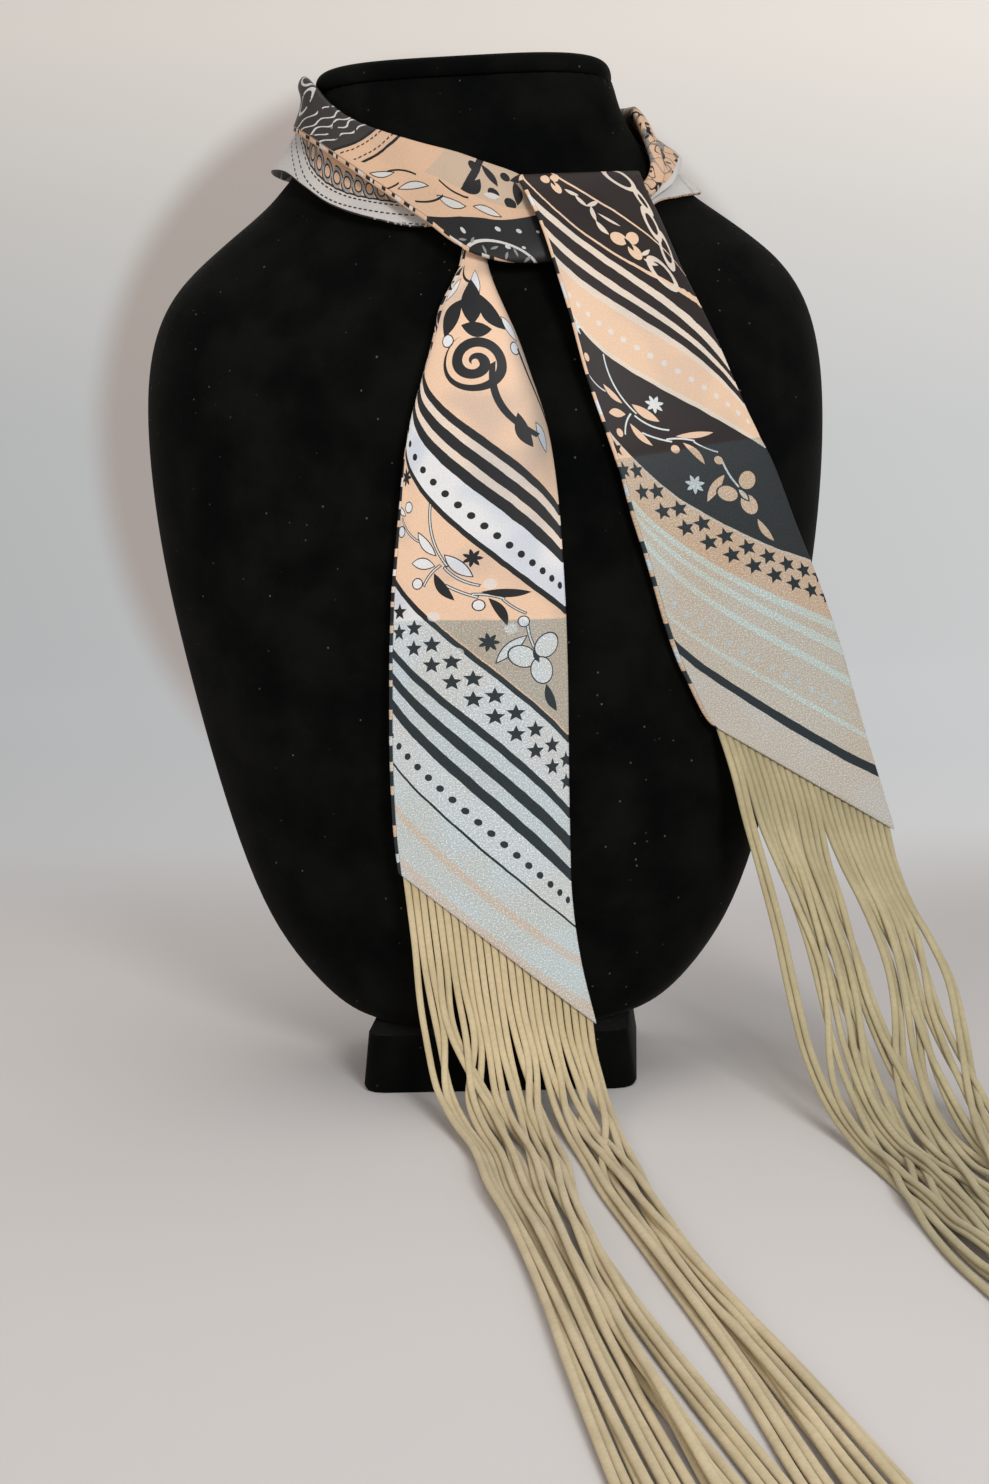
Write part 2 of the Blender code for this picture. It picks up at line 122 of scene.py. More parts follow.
# %% A wrapper for sockets
class Thread:
    """A socket of a material. Operators on it add Math nodes, and node() adds any other node."""

    def __init__(self, tree, socket=None):
        self.tree, self.socket = tree, socket

    def node(self, kind, settings=None, sockets=None, output=0):
        made = self.tree.nodes.new("ShaderNode" + kind)
        for key, value in (settings or {}).items():
            if key != "stops":
                setattr(made, key, value)
                continue
            stops = made.color_ramp.elements
            while len(stops) < len(value):
                stops.new(1.0)
            for stop, (place, colour) in zip(stops, value):
                stop.position = place
                stop.color = colour
        for key, value in (sockets or {}).items():
            if isinstance(value, Thread):
                self.tree.links.new(value.socket, made.inputs[key])
            else:
                made.inputs[key].default_value = value
        return Thread(self.tree, made.outputs[output])

    def math(self, operation, *others):
        return self.node("Math", {"operation": operation}, dict(enumerate((self, *others))))

    def __add__(self, other):
        return self.math("ADD", other)

    def __sub__(self, other):
        return self.math("SUBTRACT", other)

    def __rsub__(self, other):
        return self.node("Math", {"operation": "SUBTRACT"}, {0: other, 1: self})

    def __mul__(self, other):
        return self.math("MULTIPLY", other)

    def __truediv__(self, other):
        return self.math("DIVIDE", other)

    def __abs__(self):
        return self.math("ABSOLUTE")

    def __lt__(self, other):
        return self.math("LESS_THAN", other)

    def __gt__(self, other):
        return self.math("GREATER_THAN", other)

    __radd__, __rmul__ = __add__, __mul__

    def most(self, other):
        return self.math("MAXIMUM", other)

    def least(self, other):
        return self.math("MINIMUM", other)

    def part(self, index):
        return self.node("SeparateXYZ", {}, {0: self}, output=index)

    def reach(self):
        """How long this vector is."""
        return self.node("VectorMath", {"operation": "LENGTH"}, {0: self}, output=1)

    def noise(self, scale, **sockets):
        return self.node("TexNoise", {}, {"Vector": self, "Scale": scale, **sockets})

    def fade(self, low, high):
        """0 below low, 1 above high and smooth between."""
        return self.node("MapRange", {"interpolation_type": "SMOOTHSTEP"}, {0: self, 1: low, 2: high})

    def paint(self, mask, under, over, blend="MIX"):
        """The colour under, covered by the colour over where the mask is 1."""
        settings = {"data_type": "RGBA", "blend_type": blend}
        return self.node("Mix", settings, {0: mask, 6: under, 7: over}, output=2)

    def tint(self, mask, under, over):
        """The colour under, multiplied by the colour over where the mask is 1, so that black stays black."""
        return self.paint(mask, under, over, "MULTIPLY")


def dye(*screen):
    """A colour from 0-255 screen values, as the shader's linear light."""
    return tuple(((c / 255 + 0.055) / 1.055) ** 2.4 if c > 10 else c / 255 / 12.92 for c in screen) + (1.0,)


def new_finish(name):
    """A new material, with its Principled shader and a thread into its tree."""
    made = bpy.data.materials.new(name)
    made.use_nodes = True
    return made, made.node_tree.nodes["Principled BSDF"], Thread(made.node_tree)


def join(shader, **sockets):
    """Links threads to the shader's sockets and sets constants on them."""
    for key, value in sockets.items():
        socket = shader.inputs[key.replace("_", " ")]
        if isinstance(value, Thread):
            value.tree.links.new(value.socket, socket)
        else:
            socket.default_value = value


# %% [markdown]
# ## Smooth curves through tables
# The solids were made from short tables of sections. The looks repeat those tables and step through them
# more finely, on the same smooth curve, so cloth and solid lie in the same place.


# %% Curves through rows
def between(rows, position):
    """A row part way along a table, on the smooth curve through its rows."""
    last = len(rows) - 1
    index = min(max(int(position), 0), last - 1)
    t = position - index
    before, first, second, after = (rows[min(max(index + k, 0), last)] for k in (-1, 0, 1, 2))
    return [
        0.5 * (2 * b + (c - a) * t + (2 * a - 5 * b + 4 * c - d) * t**2 + (3 * b - a - 3 * c + d) * t**3)
        for a, b, c, d in zip(before, first, second, after)
    ]


def refine(rows, steps):
    return [between(rows, k / steps) for k in range((len(rows) - 1) * steps + 1)]


def in_metres(rows, plain=()):
    """A table written in tenths of a millimetre, as metres. Its plain columns stay as they are."""
    return [tuple(x if k in plain else x / 10000 for k, x in enumerate(row)) for row in rows]


BUST_SECTIONS = in_metres([  # height, half width, front, back, side, square
    (175, 400, 335, 270, 0, 2.5), (192, 470, 355, 285, 0, 2.4), (228, 530, 372, 300, 0, 2.3),
    (300, 605, 392, 310, 0, 2.2), (440, 710, 422, 320, 0, 2.2), (650, 800, 450, 328, 10, 2.2),
    (950, 882, 478, 332, 20, 2.2), (1250, 950, 493, 334, 30, 2.2), (1550, 1010, 498, 334, 40, 2.2),
    (1800, 1040, 490, 332, 50, 2.2), (2000, 1050, 475, 328, 60, 2.2), (2150, 1045, 452, 324, 60, 2.1),
    (2280, 1022, 423, 318, 60, 2.0), (2380, 980, 396, 312, 60, 1.9), (2460, 920, 374, 306, 60, 1.8),
    (2520, 852, 356, 300, 60, 1.7), (2580, 772, 340, 294, 50, 1.7), (2640, 685, 329, 288, 40, 1.7),
    (2700, 608, 323, 283, 20, 1.8), (2760, 545, 319, 279, 10, 2.0), (2820, 497, 317, 276, 0, 2.3),
    (2890, 458, 312, 270, -10, 2.8), (2975, 438, 306, 266, -20, 3.2),
], plain=(5,))


def bust_section(height):
    heights = [row[0] for row in BUST_SECTIONS]
    height = min(max(height, heights[0]), heights[-1])
    index = min(max(k for k, start in enumerate(heights) if start <= height), len(heights) - 2)
    return between(BUST_SECTIONS, index + (height - heights[index]) / (heights[index + 1] - heights[index]))


def bust_point(angle, height, out=0.0):
    """A point round the bust at this angle from its front, moved straight out from its surface."""
    _, half_width, front, back, side, square = bust_section(height)

    def on_section(turn):
        sine, cosine = math.sin(turn), math.cos(turn)
        depth = front + side if cosine > 0 else back - side
        x = -math.copysign(abs(sine) ** (2.0 / square), sine) * half_width
        return Vector((x, side - math.copysign(abs(cosine) ** (2.0 / square), cosine) * depth, height))

    turn, step = math.radians(angle), math.radians(2.0)
    along = on_section(turn + step) - on_section(turn - step)
    return on_section(turn) + Vector((-along.y, along.x, 0.0)).normalized() * out


print("bust 110 mm up is", round(2000 * bust_section(0.11)[1]), "mm wide")

# %% [markdown]
# ## The bust
# A display bust is a hollow moulded shell with velvet glued over it, and it has no edges except the
# seam under the rolled top. The solid's facets would show on its outline, so each of its three parts is
# copied, merged back into one skin and turned into quads, and the body and the cap are rounded with a
# Subdivision Surface.


# %% Helpers for objects
def pick(made):
    """Selects one object alone and makes it active."""
    bpy.ops.object.select_all(action="DESELECT")
    made.select_set(True)
    bpy.context.view_layer.objects.active = made


def reshape(made, *steps):
    """Runs these operators, each with its settings, on all of one object's mesh."""
    pick(made)
    bpy.ops.object.mode_set(mode="EDIT")
    bpy.ops.mesh.select_all(action="SELECT")
    for operator, settings in steps:
        operator(**settings)
    bpy.ops.object.mode_set(mode="OBJECT")


MERGE = (bpy.ops.mesh.remove_doubles, {"threshold": 0.000002})
FACE_OUT = (bpy.ops.mesh.normals_make_consistent, {"inside": False})


def smooth_copy(node, name, levels, rim_crease=0.0):
    """A merged copy of a CAD node, rounded by a subdivision surface that keeps its top and bottom rims."""
    made = frame["nodes"][node].copy()
    made.data = made.data.copy()
    made.name = made.data.name = name
    made.parent = None
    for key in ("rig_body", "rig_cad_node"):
        if key in made:
            del made[key]
    bpy.context.scene.collection.objects.link(made)
    made.data.materials.clear()
    wide, skewed = math.radians(50), math.radians(60)
    reshape(
        made,
        (bpy.ops.mesh.remove_doubles, {"threshold": 0.00002}),
        (bpy.ops.mesh.customdata_custom_splitnormals_clear, {}),
        (bpy.ops.mesh.dissolve_limited, {"angle_limit": math.radians(1)}),
        (bpy.ops.mesh.tris_convert_to_quads, {"face_threshold": wide, "shape_threshold": skewed}),
        (bpy.ops.mesh.select_all, {"action": "DESELECT"}),
    )
    heights = [vertex.co.z for vertex in made.data.vertices]
    for rim in (min(heights), max(heights)):
        for edge in made.data.edges:
            if all(abs(heights[k] - rim) < 0.00005 for k in edge.vertices):
                edge.select = True
    bpy.ops.object.mode_set(mode="EDIT")
    bpy.ops.transform.edge_crease(value=rim_crease)
    bpy.ops.object.mode_set(mode="OBJECT")
    if levels:
        surface = made.modifiers.new("Rounding", "SUBSURF")
        surface.levels = surface.render_levels = levels
        bpy.ops.object.modifier_apply(modifier=surface.name)
    bpy.ops.object.shade_smooth_by_angle(angle=math.radians(40))
    return made


# %% Body, cap and foot
bust_body = smooth_copy("bust_body", "velvet_body", 2, 0.9)
bust_cap = smooth_copy("bust_cap", "velvet_cap", 2, 0.6)
bust_foot = smooth_copy("bust_foot", "velvet_foot", 0)
reshape(
    bust_cap,
    (bpy.ops.transform.resize, {"value": (0.994, 0.970, 1.0), "center_override": (0.0, 0.0, 0.3007)}),
    (bpy.ops.transform.translate, {"value": (-0.0011, 0.0, 0.0)}),
)
for made, node in ((bust_body, "bust_body"), (bust_cap, "bust_cap"), (bust_foot, "bust_foot")):
    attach(made, "root")
    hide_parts(node)
    print(made.name, len(made.data.polygons), "faces")

# %% [markdown]
# ## Black velvet
# Velvet is a dense pile that swallows light when it is seen from the front and shows a thin grey rim
# where it turns away. A very dark base, full roughness and a little sheen give that, a fine noise bump
# stands for the pile, and rare tiny pale specks are the lint that black velvet always gathers.

# %% Velvet finish
velvet, shader, thread = new_finish("velvet")
spot = thread.node("TexCoord", output=3)
mottle = spot.noise(55.0, Detail=5.0)
pile = spot.noise(1600.0, Detail=2.0)
LINT = {"Vector": spot, "Scale": 230.0}
chance = thread.node("SeparateColor", {}, {0: thread.node("TexVoronoi", {}, LINT, output=1)})
speck = (1 - thread.node("TexVoronoi", {}, LINT).fade(0.04, 0.09)) * chance.fade(0.30, 1.0)
ground = thread.paint(mottle.fade(0.3, 0.75), (0.0012, 0.0015, 0.0014, 1), (0.0052, 0.0052, 0.0042, 1))
join(shader, Base_Color=thread.paint(speck * 0.45, ground, (0.22, 0.20, 0.17, 1)), Roughness=0.95)
join(shader, Sheen_Weight=0.035, Sheen_Roughness=0.35, Sheen_Tint=(0.75, 0.72, 0.66, 1))
relief = {"Strength": 0.5, "Distance": 0.0004, "Height": pile + mottle * 0.4}
join(shader, Specular_IOR_Level=0.05, Normal=thread.node("Bump", {}, relief))
for made in (bust_body, bust_cap, bust_foot):
    made.data.materials.append(velvet)

# %% [markdown]
# ## Cloth as a flat tube
# The scarf is a tube sewn from one printed strip, pressed flat: two layers of satin, rounded at both
# long edges and closed at the hem. A grid is the natural start. Its columns run once round the flat
# section, over the front, round one edge, over the back and round the other, and merging closes it.
# Each corner keeps where it lies on the flat cloth, in millimetres, so a print can follow the cloth.


# %% Flat tube
HALF_WALL = 0.0005
EDGE_STEPS = 4


def flat_tube(name, middle, toward, marks, taper):
    """Cloth round a surface. middle is rows of points, toward a vector that the front faces at its first
    column, marks the (across, along, print) place of each point in mm, taper each row's share of the wall."""
    middle, marks = np.array(middle, float), np.array(marks, float)
    rows, columns = middle.shape[:2]
    across = np.gradient(middle, axis=1)
    normal = np.cross(across, np.gradient(middle, axis=0))
    normal /= np.linalg.norm(normal, axis=2)[..., None] + 1e-12
    if (normal[:, 0] * np.array(toward)).sum(-1).mean() < 0:
        normal = -normal
    across /= np.linalg.norm(across, axis=2)[..., None] + 1e-12
    half = HALF_WALL * np.array(taper)[:, None, None]
    turns = [math.pi * (k + 1) / (EDGE_STEPS + 1) for k in range(EDGE_STEPS)]
    right_end = middle[:, -1:], normal[:, -1:], across[:, -1:]
    left_end = middle[:, :1], normal[:, :1], across[:, :1]
    right_edge, left_edge = (
        [end + way * half * (face * math.cos(t) + side * math.sin(t)) for t in turns]
        for way, (end, face, side) in ((1, right_end), (-1, left_end))
    )
    front, back = middle + half * normal, middle - half * normal
    points = np.concatenate([front, *right_edge, back[:, ::-1], *left_edge, front[:, :1]], axis=1)
    reverse = marks[:, ::-1].copy()
    reverse[..., 0] = 100.0 - reverse[..., 0]
    last = reverse[:, -1:].copy()
    edges = [marks[:, -1:]] * EDGE_STEPS, [last] * (EDGE_STEPS + 1)
    flat = np.concatenate([marks, *edges[0], reverse, *edges[1]], axis=1)
    bpy.ops.object.select_all(action="DESELECT")
    bpy.ops.mesh.primitive_grid_add(x_subdivisions=points.shape[1] - 1, y_subdivisions=rows - 1, size=1)
    made = bpy.context.object
    made.name = made.data.name = name
    made.data.vertices.foreach_set("co", points.reshape(-1).astype(np.float32))
    corners = np.empty(len(made.data.loops), np.int32)
    made.data.loops.foreach_get("vertex_index", corners)
    places = made.data.attributes.new("cloth", "FLOAT_VECTOR", "CORNER")
    places.data.foreach_set("vector", flat.reshape(-1, 3)[corners].reshape(-1).astype(np.float32))
    reshape(made, MERGE, FACE_OUT)
    bpy.ops.object.shade_smooth_by_angle(angle=math.radians(60))
    print(name, len(made.data.polygons), "faces")
    return made


def rounded_ends(run, reach, first=True, last=True):
    """For each row the wall's share, drawn to nothing over this reach at the ends, as an end seam is."""
    shares = []
    for here in run:
        gap = min(here - run[0] if first else reach, run[-1] - here if last else reach, reach)
        shares.append(math.sqrt(max(0.0, 1 - (1 - gap / reach) ** 2)))
    return shares


# %% [markdown]
# ## The tails
# Both ends of the scarf hang flat over the bust, bow forward a little and curl back at their edges, most
# of all under the knot. The print runs in diagonal bands that bend with the cloth, so besides its place
# on the cloth each point gets its place in the print: how far down the middle line its band crosses.

# %% Tail tables
TAIL_LEFT = in_metres([  # left edge x, y, z, right edge x, y, z, curl in degrees, bow
    (0, -417, 2480, 55, -417, 2480, 110, 8), (-12, -431, 2420, 62, -431, 2420, 120, 10),
    (-38, -462, 2360, 80, -462, 2360, 140, 18), (-68, -484, 2300, 104, -484, 2300, 140, 24),
    (-92, -510, 2200, 145, -510, 2200, 125, 27), (-126, -525, 2090, 180, -525, 2090, 110, 26),
    (-158, -533, 1990, 210, -533, 1990, 95, 24), (-182, -538, 1880, 230, -538, 1880, 85, 22),
    (-202, -540, 1740, 243, -540, 1740, 75, 20), (-220, -540, 1610, 249, -540, 1600, 65, 18),
    (-237, -539, 1480, 252, -539, 1430, 60, 14), (-247, -537, 1350, 251, -537, 1240, 60, 12),
    (-254, -536, 1200, 246, -536, 1030, 60, 12), (-260, -535, 1060, 242, -535, 820, 60, 12),
    (-262, -535, 930, 242, -535, 610, 60, 12), (-260, -535, 800, 262, -535, 420, 60, 12),
    (-252, -535, 690, 300, -535, 236, 60, 12),
], plain=(6,))
TAIL_RIGHT = in_metres([
    (180, -402, 2640, 482, -214, 2668, 40, 10), (172, -410, 2655, 490, -216, 2682, 40, 12),
    (166, -428, 2660, 496, -228, 2686, 50, 14), (166, -448, 2642, 503, -246, 2668, 60, 16),
    (188, -466, 2600, 520, -268, 2622, 70, 18), (226, -482, 2510, 554, -292, 2545, 75, 20),
    (263, -498, 2385, 586, -318, 2460, 75, 22), (296, -508, 2269, 617, -335, 2380, 75, 22),
    (340, -512, 2089, 695, -352, 2203, 70, 22), (391, -508, 1931, 775, -352, 2006, 65, 20),
    (424, -502, 1828, 822, -345, 1907, 60, 18), (451, -492, 1703, 863, -335, 1816, 60, 16),
    (492, -475, 1553, 920, -310, 1655, 55, 14), (535, -450, 1380, 995, -265, 1460, 50, 12),
    (570, -430, 1270, 1050, -225, 1290, 50, 12), (600, -415, 1200, 1092, -195, 1130, 50, 12),
    (630, -402, 1132, 1140, -180, 950, 50, 12), (650, -395, 1096, 1175, -180, 825, 50, 12),
    (670, -390, 1073, 1203, -180, 724, 50, 12),
], plain=(6,))
# where a band that crosses the middle line at the first number meets the left and the right edge, in mm
BANDS_LEFT = [
    (59.7, 33, 81), (88.6, 60, 108), (122.6, 98.5, 145.3), (142.5, 119, 166.7), (159.6, 133.1, 184.1),
    (176.7, 150.3, 199.5), (191, 163, 210.2), (203.1, 177.3, 223.2),
]
BANDS_RIGHT = [
    (13.2, -8, 39), (31.7, 3, 46), (36.9, 14, 68), (44.5, 21.5, 73), (51.3, 29.8, 80), (71.3, 46, 92),
    (111.8, 80, 129), (130, 100.4, 150), (145.8, 112.6, 169.5), (163, 134, 185.8), (175.6, 144, 197),
    (195, 173.7, 215.8),
]
CLOTH_WIDTH = 50.0
LEFT_CREASE, RIGHT_CREASE = 111.0, 90.0


# %% Places in the print
def print_place(bands, across, along):
    """How far down the middle line the band through this place of the cloth crosses it, in mm."""
    x = across - CLOTH_WIDTH / 2

    def met(place):
        if place <= bands[0][0] or place >= bands[-1][0]:
            end = bands[0] if place <= bands[0][0] else bands[-1]
            low, high = end[1] + place - end[0], end[2] + place - end[0]
        else:
            index = max(k for k, row in enumerate(bands) if row[0] <= place)
            first, second = bands[index], bands[index + 1]
            share = (place - first[0]) / (second[0] - first[0])
            low, high = (first[k] + share * (second[k] - first[k]) for k in (1, 2))
        return place + (high - low) / 50 * x + (high + low - 2 * place) / 1250 * x * x

    low, high = along - 60.0, along + 60.0
    for _ in range(16):
        middle = (low + high) / 2
        low, high = (middle, high) if met(middle) < along else (low, middle)
    return (low + high) / 2


def tail_cloth(name, rows, bands, ripple):
    """A tail's flat tube. ripple(across, point) moves the cloth forward for its folds."""
    last = len(rows) - 1
    steps = [last * k / 220 for k in range(220)]
    steps += [last - gap for gap in (0.055, 0.035, 0.02, 0.009, 0.003, 0)]
    shares = [0, .006, .012, .018, .023, .027, .033, .045, .06, *(.075 + .025 * k for k in range(37)), .99,
              1.0]
    middle, marks, run, sums, before = [], [], [], [0.0, 0.0], None
    for position in steps:
        *edges, curl, bow = between(rows, position)
        left, rim = Vector(edges[:3]), Vector(edges[3:])
        if before:
            sums = [gone + 1000 * (now - then).length for gone, now, then in zip(sums, (left, rim), before)]
        before = (left, rim)
        run.append(sum(sums) / 2)
        centre, chord = (left + rim) / 2, rim - left
        forward = Vector((chord.y, -chord.x, 0.0)).normalized()
        curl = math.radians(curl)
        reach = 1.0 / math.sin(min(curl, math.pi / 2))
        line, line_marks = [], []
        for share in shares:
            turn = curl * (2 * share - 1)
            point = centre + chord * (reach * math.sin(turn) / 2) + forward * (bow * math.cos(turn))
            across, along = CLOTH_WIDTH * share, sums[0] * (1 - share) + sums[1] * share
            line.append(point + forward * ripple(across, along))
            line_marks.append((across, along, print_place(bands, across, along)))
        middle.append(line)
        marks.append(line_marks)
    return flat_tube(name, middle, (0.2, -1, 0), marks, rounded_ends(run, 1.2, first=False))


# %% Both tails
def folds(depth, crease, wave, slant, start):
    """A soft crease across the cloth, sunk this deep, and a shallow slanting sway. Both end at the knot."""
    def ripple(across, along):
        sunk = -depth * math.exp(-abs(along - crease) / 10)
        sway = 0.0004 * math.sin(along / wave + across / slant + start)
        return (sunk + sway) * min(1.0, along / 40)
    return ripple


left_folds = folds(0.0011, LEFT_CREASE, 19, 16, 0.0)
right_folds = folds(0.0010, RIGHT_CREASE, 21, -18, 1.0)
tail_left = tail_cloth("satin_tail_left", TAIL_LEFT, BANDS_LEFT, left_folds)
tail_right = tail_cloth("satin_tail_right", TAIL_RIGHT, BANDS_RIGHT, right_folds)

# %% [markdown]
# ## The collar
# Round the neck the tube is folded lengthwise, so its section climbs the outer half, turns over the fold
# and comes down behind, a little lower than the outer half's edge. Each section is set out on the bust.

# %% Collar tables
COLLAR_LEFT = in_metres([  # angle, distance out and height of the fold, crease, edge and low edge, tuck
    (180, 12, 2945, 40, 2870, 48, 2800, 14, 2735, 0), (150, 14, 2975, 44, 2900, 52, 2830, 18, 2745, 0),
    (120, 30, 3015, 50, 2945, 58, 2870, 52, 2760, 0), (95, 32, 3035, 50, 2970, 58, 2895, 74, 2775, 0),
    (78, 32, 3025, 54, 2955, 62, 2880, 72, 2770, 0), (62, 26, 2980, 64, 2915, 78, 2855, 62, 2748, 0),
    (48, 24, 2920, 76, 2855, 92, 2812, 60, 2694, 0), (35, 24, 2865, 84, 2790, 100, 2745, 58, 2628, 0),
    (22, 27, 2815, 90, 2715, 104, 2655, 54, 2576, 0), (11, 30, 2775, 96, 2672, 104, 2568, 42, 2545, 0),
    (2, 34, 2745, 100, 2638, 100, 2485, 36, 2570, 0), (-7, 38, 2712, 104, 2610, 96, 2432, 36, 2600, 10),
    (-15, 42, 2680, 106, 2585, 94, 2424, 36, 2610, 30),
    (-21, 52, 2640, 100, 2565, 90, 2440, 50, 2590, 30), (-26, 56, 2620, 96, 2555, 84, 2455, 54, 2575, 20),
], plain=(0,))
COLLAR_RIGHT = in_metres([
    (-180, 12, 2945, 40, 2870, 48, 2800, 14, 2735, 0), (-150, 14, 2950, 42, 2875, 52, 2800, 16, 2710, 0),
    (-125, 22, 2945, 44, 2870, 64, 2790, 24, 2700, 0), (-105, 24, 2930, 46, 2856, 76, 2775, 22, 2672, 0),
    (-90, 28, 2910, 48, 2838, 80, 2762, 26, 2660, 0), (-80, 32, 2862, 54, 2800, 78, 2740, 24, 2650, 0),
    (-71, 32, 2795, 50, 2750, 66, 2706, 22, 2641, 0), (-62, 28, 2718, 42, 2692, 50, 2664, 18, 2629, 0),
    (-50, 22, 2650, 34, 2634, 38, 2618, 16, 2604, 0), (-35, 18, 2585, 30, 2565, 32, 2545, 14, 2520, 0),
    (-20, 18, 2545, 30, 2520, 32, 2495, 14, 2465, 0), (-8, 18, 2525, 30, 2500, 32, 2480, 14, 2450, 0),
    (-1, 18, 2515, 30, 2490, 32, 2470, 14, 2440, 0),
], plain=(0,))
SEAM_GAP = 0.0003
FOLD = 0.0015


# %% Collar cloth
def collar_cloth(name, rows):
    middle, marks, run, along, before = [], [], [], 0.0, None
    last = len(rows) - 1
    steps = [last * k / 150 for k in range(150)] + [last - gap for gap in (0.05, 0.02, 0.006, 0)]
    for position in steps:
        angle, top_out, top, crease_out, crease, edge_out, edge, low_out, low, tuck = between(rows, position)
        path = [
            (edge_out - tuck, edge), (edge_out, edge + 0.0015), (crease_out, crease),
            (top_out + 2 * FOLD, top - 1.6 * FOLD), (top_out + FOLD, top), (top_out, top - 1.6 * FOLD),
            (0.6 * top_out + 0.4 * low_out, 0.5 * top + 0.5 * low), (low_out, low),
        ]
        line = [bust_point(angle, height, out) for out, height in refine(path, 8)]
        shift = math.copysign(0.7 * SEAM_GAP * max(0.0, 1 - position), rows[0][0])
        line = [point - Vector((shift, 0, 0)) for point in line]
        centre = bust_point(angle, crease, crease_out)
        along += 1000 * (centre - before).length if before else 0.0
        before = centre
        run.append(along)
        across, line_marks = 0.0, []
        for k, point in enumerate(line):
            across += 1000 * (point - line[k - 1]).length if k else 0.0
            slant = 1 - 0.6 * min(max((along - 118) / 42, 0), 1)
            line_marks.append((across, along, along - slant * across))
        middle.append(line)
        marks.append(line_marks)
    toward = Vector((-1, 0, 0)) if rows[4][0] > 0 else Vector((1, 0, 0))
    return flat_tube(name, middle, toward, marks, rounded_ends(run, 1.0))


collar_left = collar_cloth("satin_collar_left", COLLAR_LEFT)
collar_right = collar_cloth("satin_collar_right", COLLAR_RIGHT)

# %% [markdown]
# ## The fringe
# Each hem has 24 flat suede-like cords, sewn in side by side. They hang straight for a few centimetres,
# then drift together, cross and part, and run on over the table. One straight cord is modelled, a flat
# rounded tube, and each copy of its mesh is laid along its own path. Where paths cross, a cord lies on
# those before it, so a stacking order lifts it by what is under it.

# %% Fringe tables
FRINGE_LEFT = in_metres([  # outer left cord x, y, z, outer right cord x, y, z
    (-228, -542, 500, 302, -552, 160), (-213, -562, 352, 318, -600, 95), (-188, -600, 214, 336, -690, 48),
    (-154, -680, 92, 358, -820, 22), (-100, -820, 30, 389, -1000, 11), (-29, -1040, 11, 424, -1200, 11),
    (28, -1340, 11, 460, -1400, 11), (107, -1640, 11, 510, -1660, 11), (190, -2030, 11, 605, -2030, 11),
    (265, -2450, 11, 738, -2450, 11), (355, -2920, 11, 870, -2880, 11), (480, -3500, 11, 1040, -3450, 11),
])
FRINGE_RIGHT = in_metres([
    (712, -408, 951, 1217, -205, 620), (742, -430, 818, 1252, -270, 505),
    (777, -460, 680, 1300, -370, 410), (821, -510, 492, 1335, -480, 320),
    (851, -590, 325, 1352, -620, 220), (882, -710, 180, 1364, -790, 120), (930, -880, 70, 1380, -980, 45),
    (985, -1080, 18, 1405, -1180, 13), (1030, -1280, 11, 1440, -1400, 11),
    (1062, -1480, 11, 1480, -1620, 11), (1115, -1850, 11, 1560, -2000, 11),
    (1170, -2110, 11, 1620, -2300, 11), (1290, -2700, 11, 1740, -2900, 11),
])
CORDS, CORD_LENGTH, CORD_WIDTH, CORD_THICKNESS, CORD_STEPS = 24, 0.300, 0.0019, 0.0012, 110


# %% One straight cord
def straight_cord():
    """A flat cord of unit length along Y, eight-sided, with its sides rounded."""
    bpy.ops.object.select_all(action="DESELECT")
    section = [(-.5, -.18), (-.32, -.5), (.32, -.5), (.5, -.18), (.5, .18), (.32, .5), (-.32, .5),
               (-.5, .18)]
    bpy.ops.mesh.primitive_grid_add(x_subdivisions=len(section), y_subdivisions=CORD_STEPS, size=1)
    made = bpy.context.object
    for number, vertex in enumerate(made.data.vertices):
        step, corner = divmod(number, len(section) + 1)
        side, out = section[corner % len(section)]
        vertex.co = (side * CORD_WIDTH, step / CORD_STEPS, out * CORD_THICKNESS)
    reshape(
        made, MERGE, (bpy.ops.mesh.select_non_manifold, {}), (bpy.ops.mesh.edge_face_add, {}),
        (bpy.ops.mesh.select_all, {"action": "SELECT"}), FACE_OUT,
    )
    return made


# %% Lay the cords
def hem_ends(rows):
    """The outer cords' roots, just inside the tail's hem."""
    left, rim = Vector(rows[-1][0:3]), Vector(rows[-1][3:6])
    rise = Vector((0.0, 0.0007, 0.0006))
    inset = (rim - left) * 0.012
    return left + rise + inset, rim + rise - inset


def even_steps(points, length, count):
    """Points at even steps along a path, for this length of it."""
    points = np.array(points, float)
    gone = np.concatenate([[0], np.cumsum(np.linalg.norm(np.diff(points, axis=0), axis=1))])
    wanted = np.linspace(0, min(length, gone[-1]), count)
    return np.stack([np.interp(wanted, gone, points[:, k]) for k in range(3)], axis=1)


def cord_lines(rows, tail_rows, drift):
    """Each cord's middle line. drift(number, share of the length) is its place between the outer cords."""
    fine = refine([(*left, *rim) for left, rim in [hem_ends(tail_rows)]] + rows, 12)
    lines = []
    for number in range(CORDS):
        path = []
        for k, outer in enumerate(fine):
            share = drift(number, k / (len(fine) - 1))
            path.append(Vector(outer[:3]).lerp(Vector(outer[3:]), share))
        lines.append(even_steps(path, CORD_LENGTH, CORD_STEPS + 1))
    return np.array(lines)


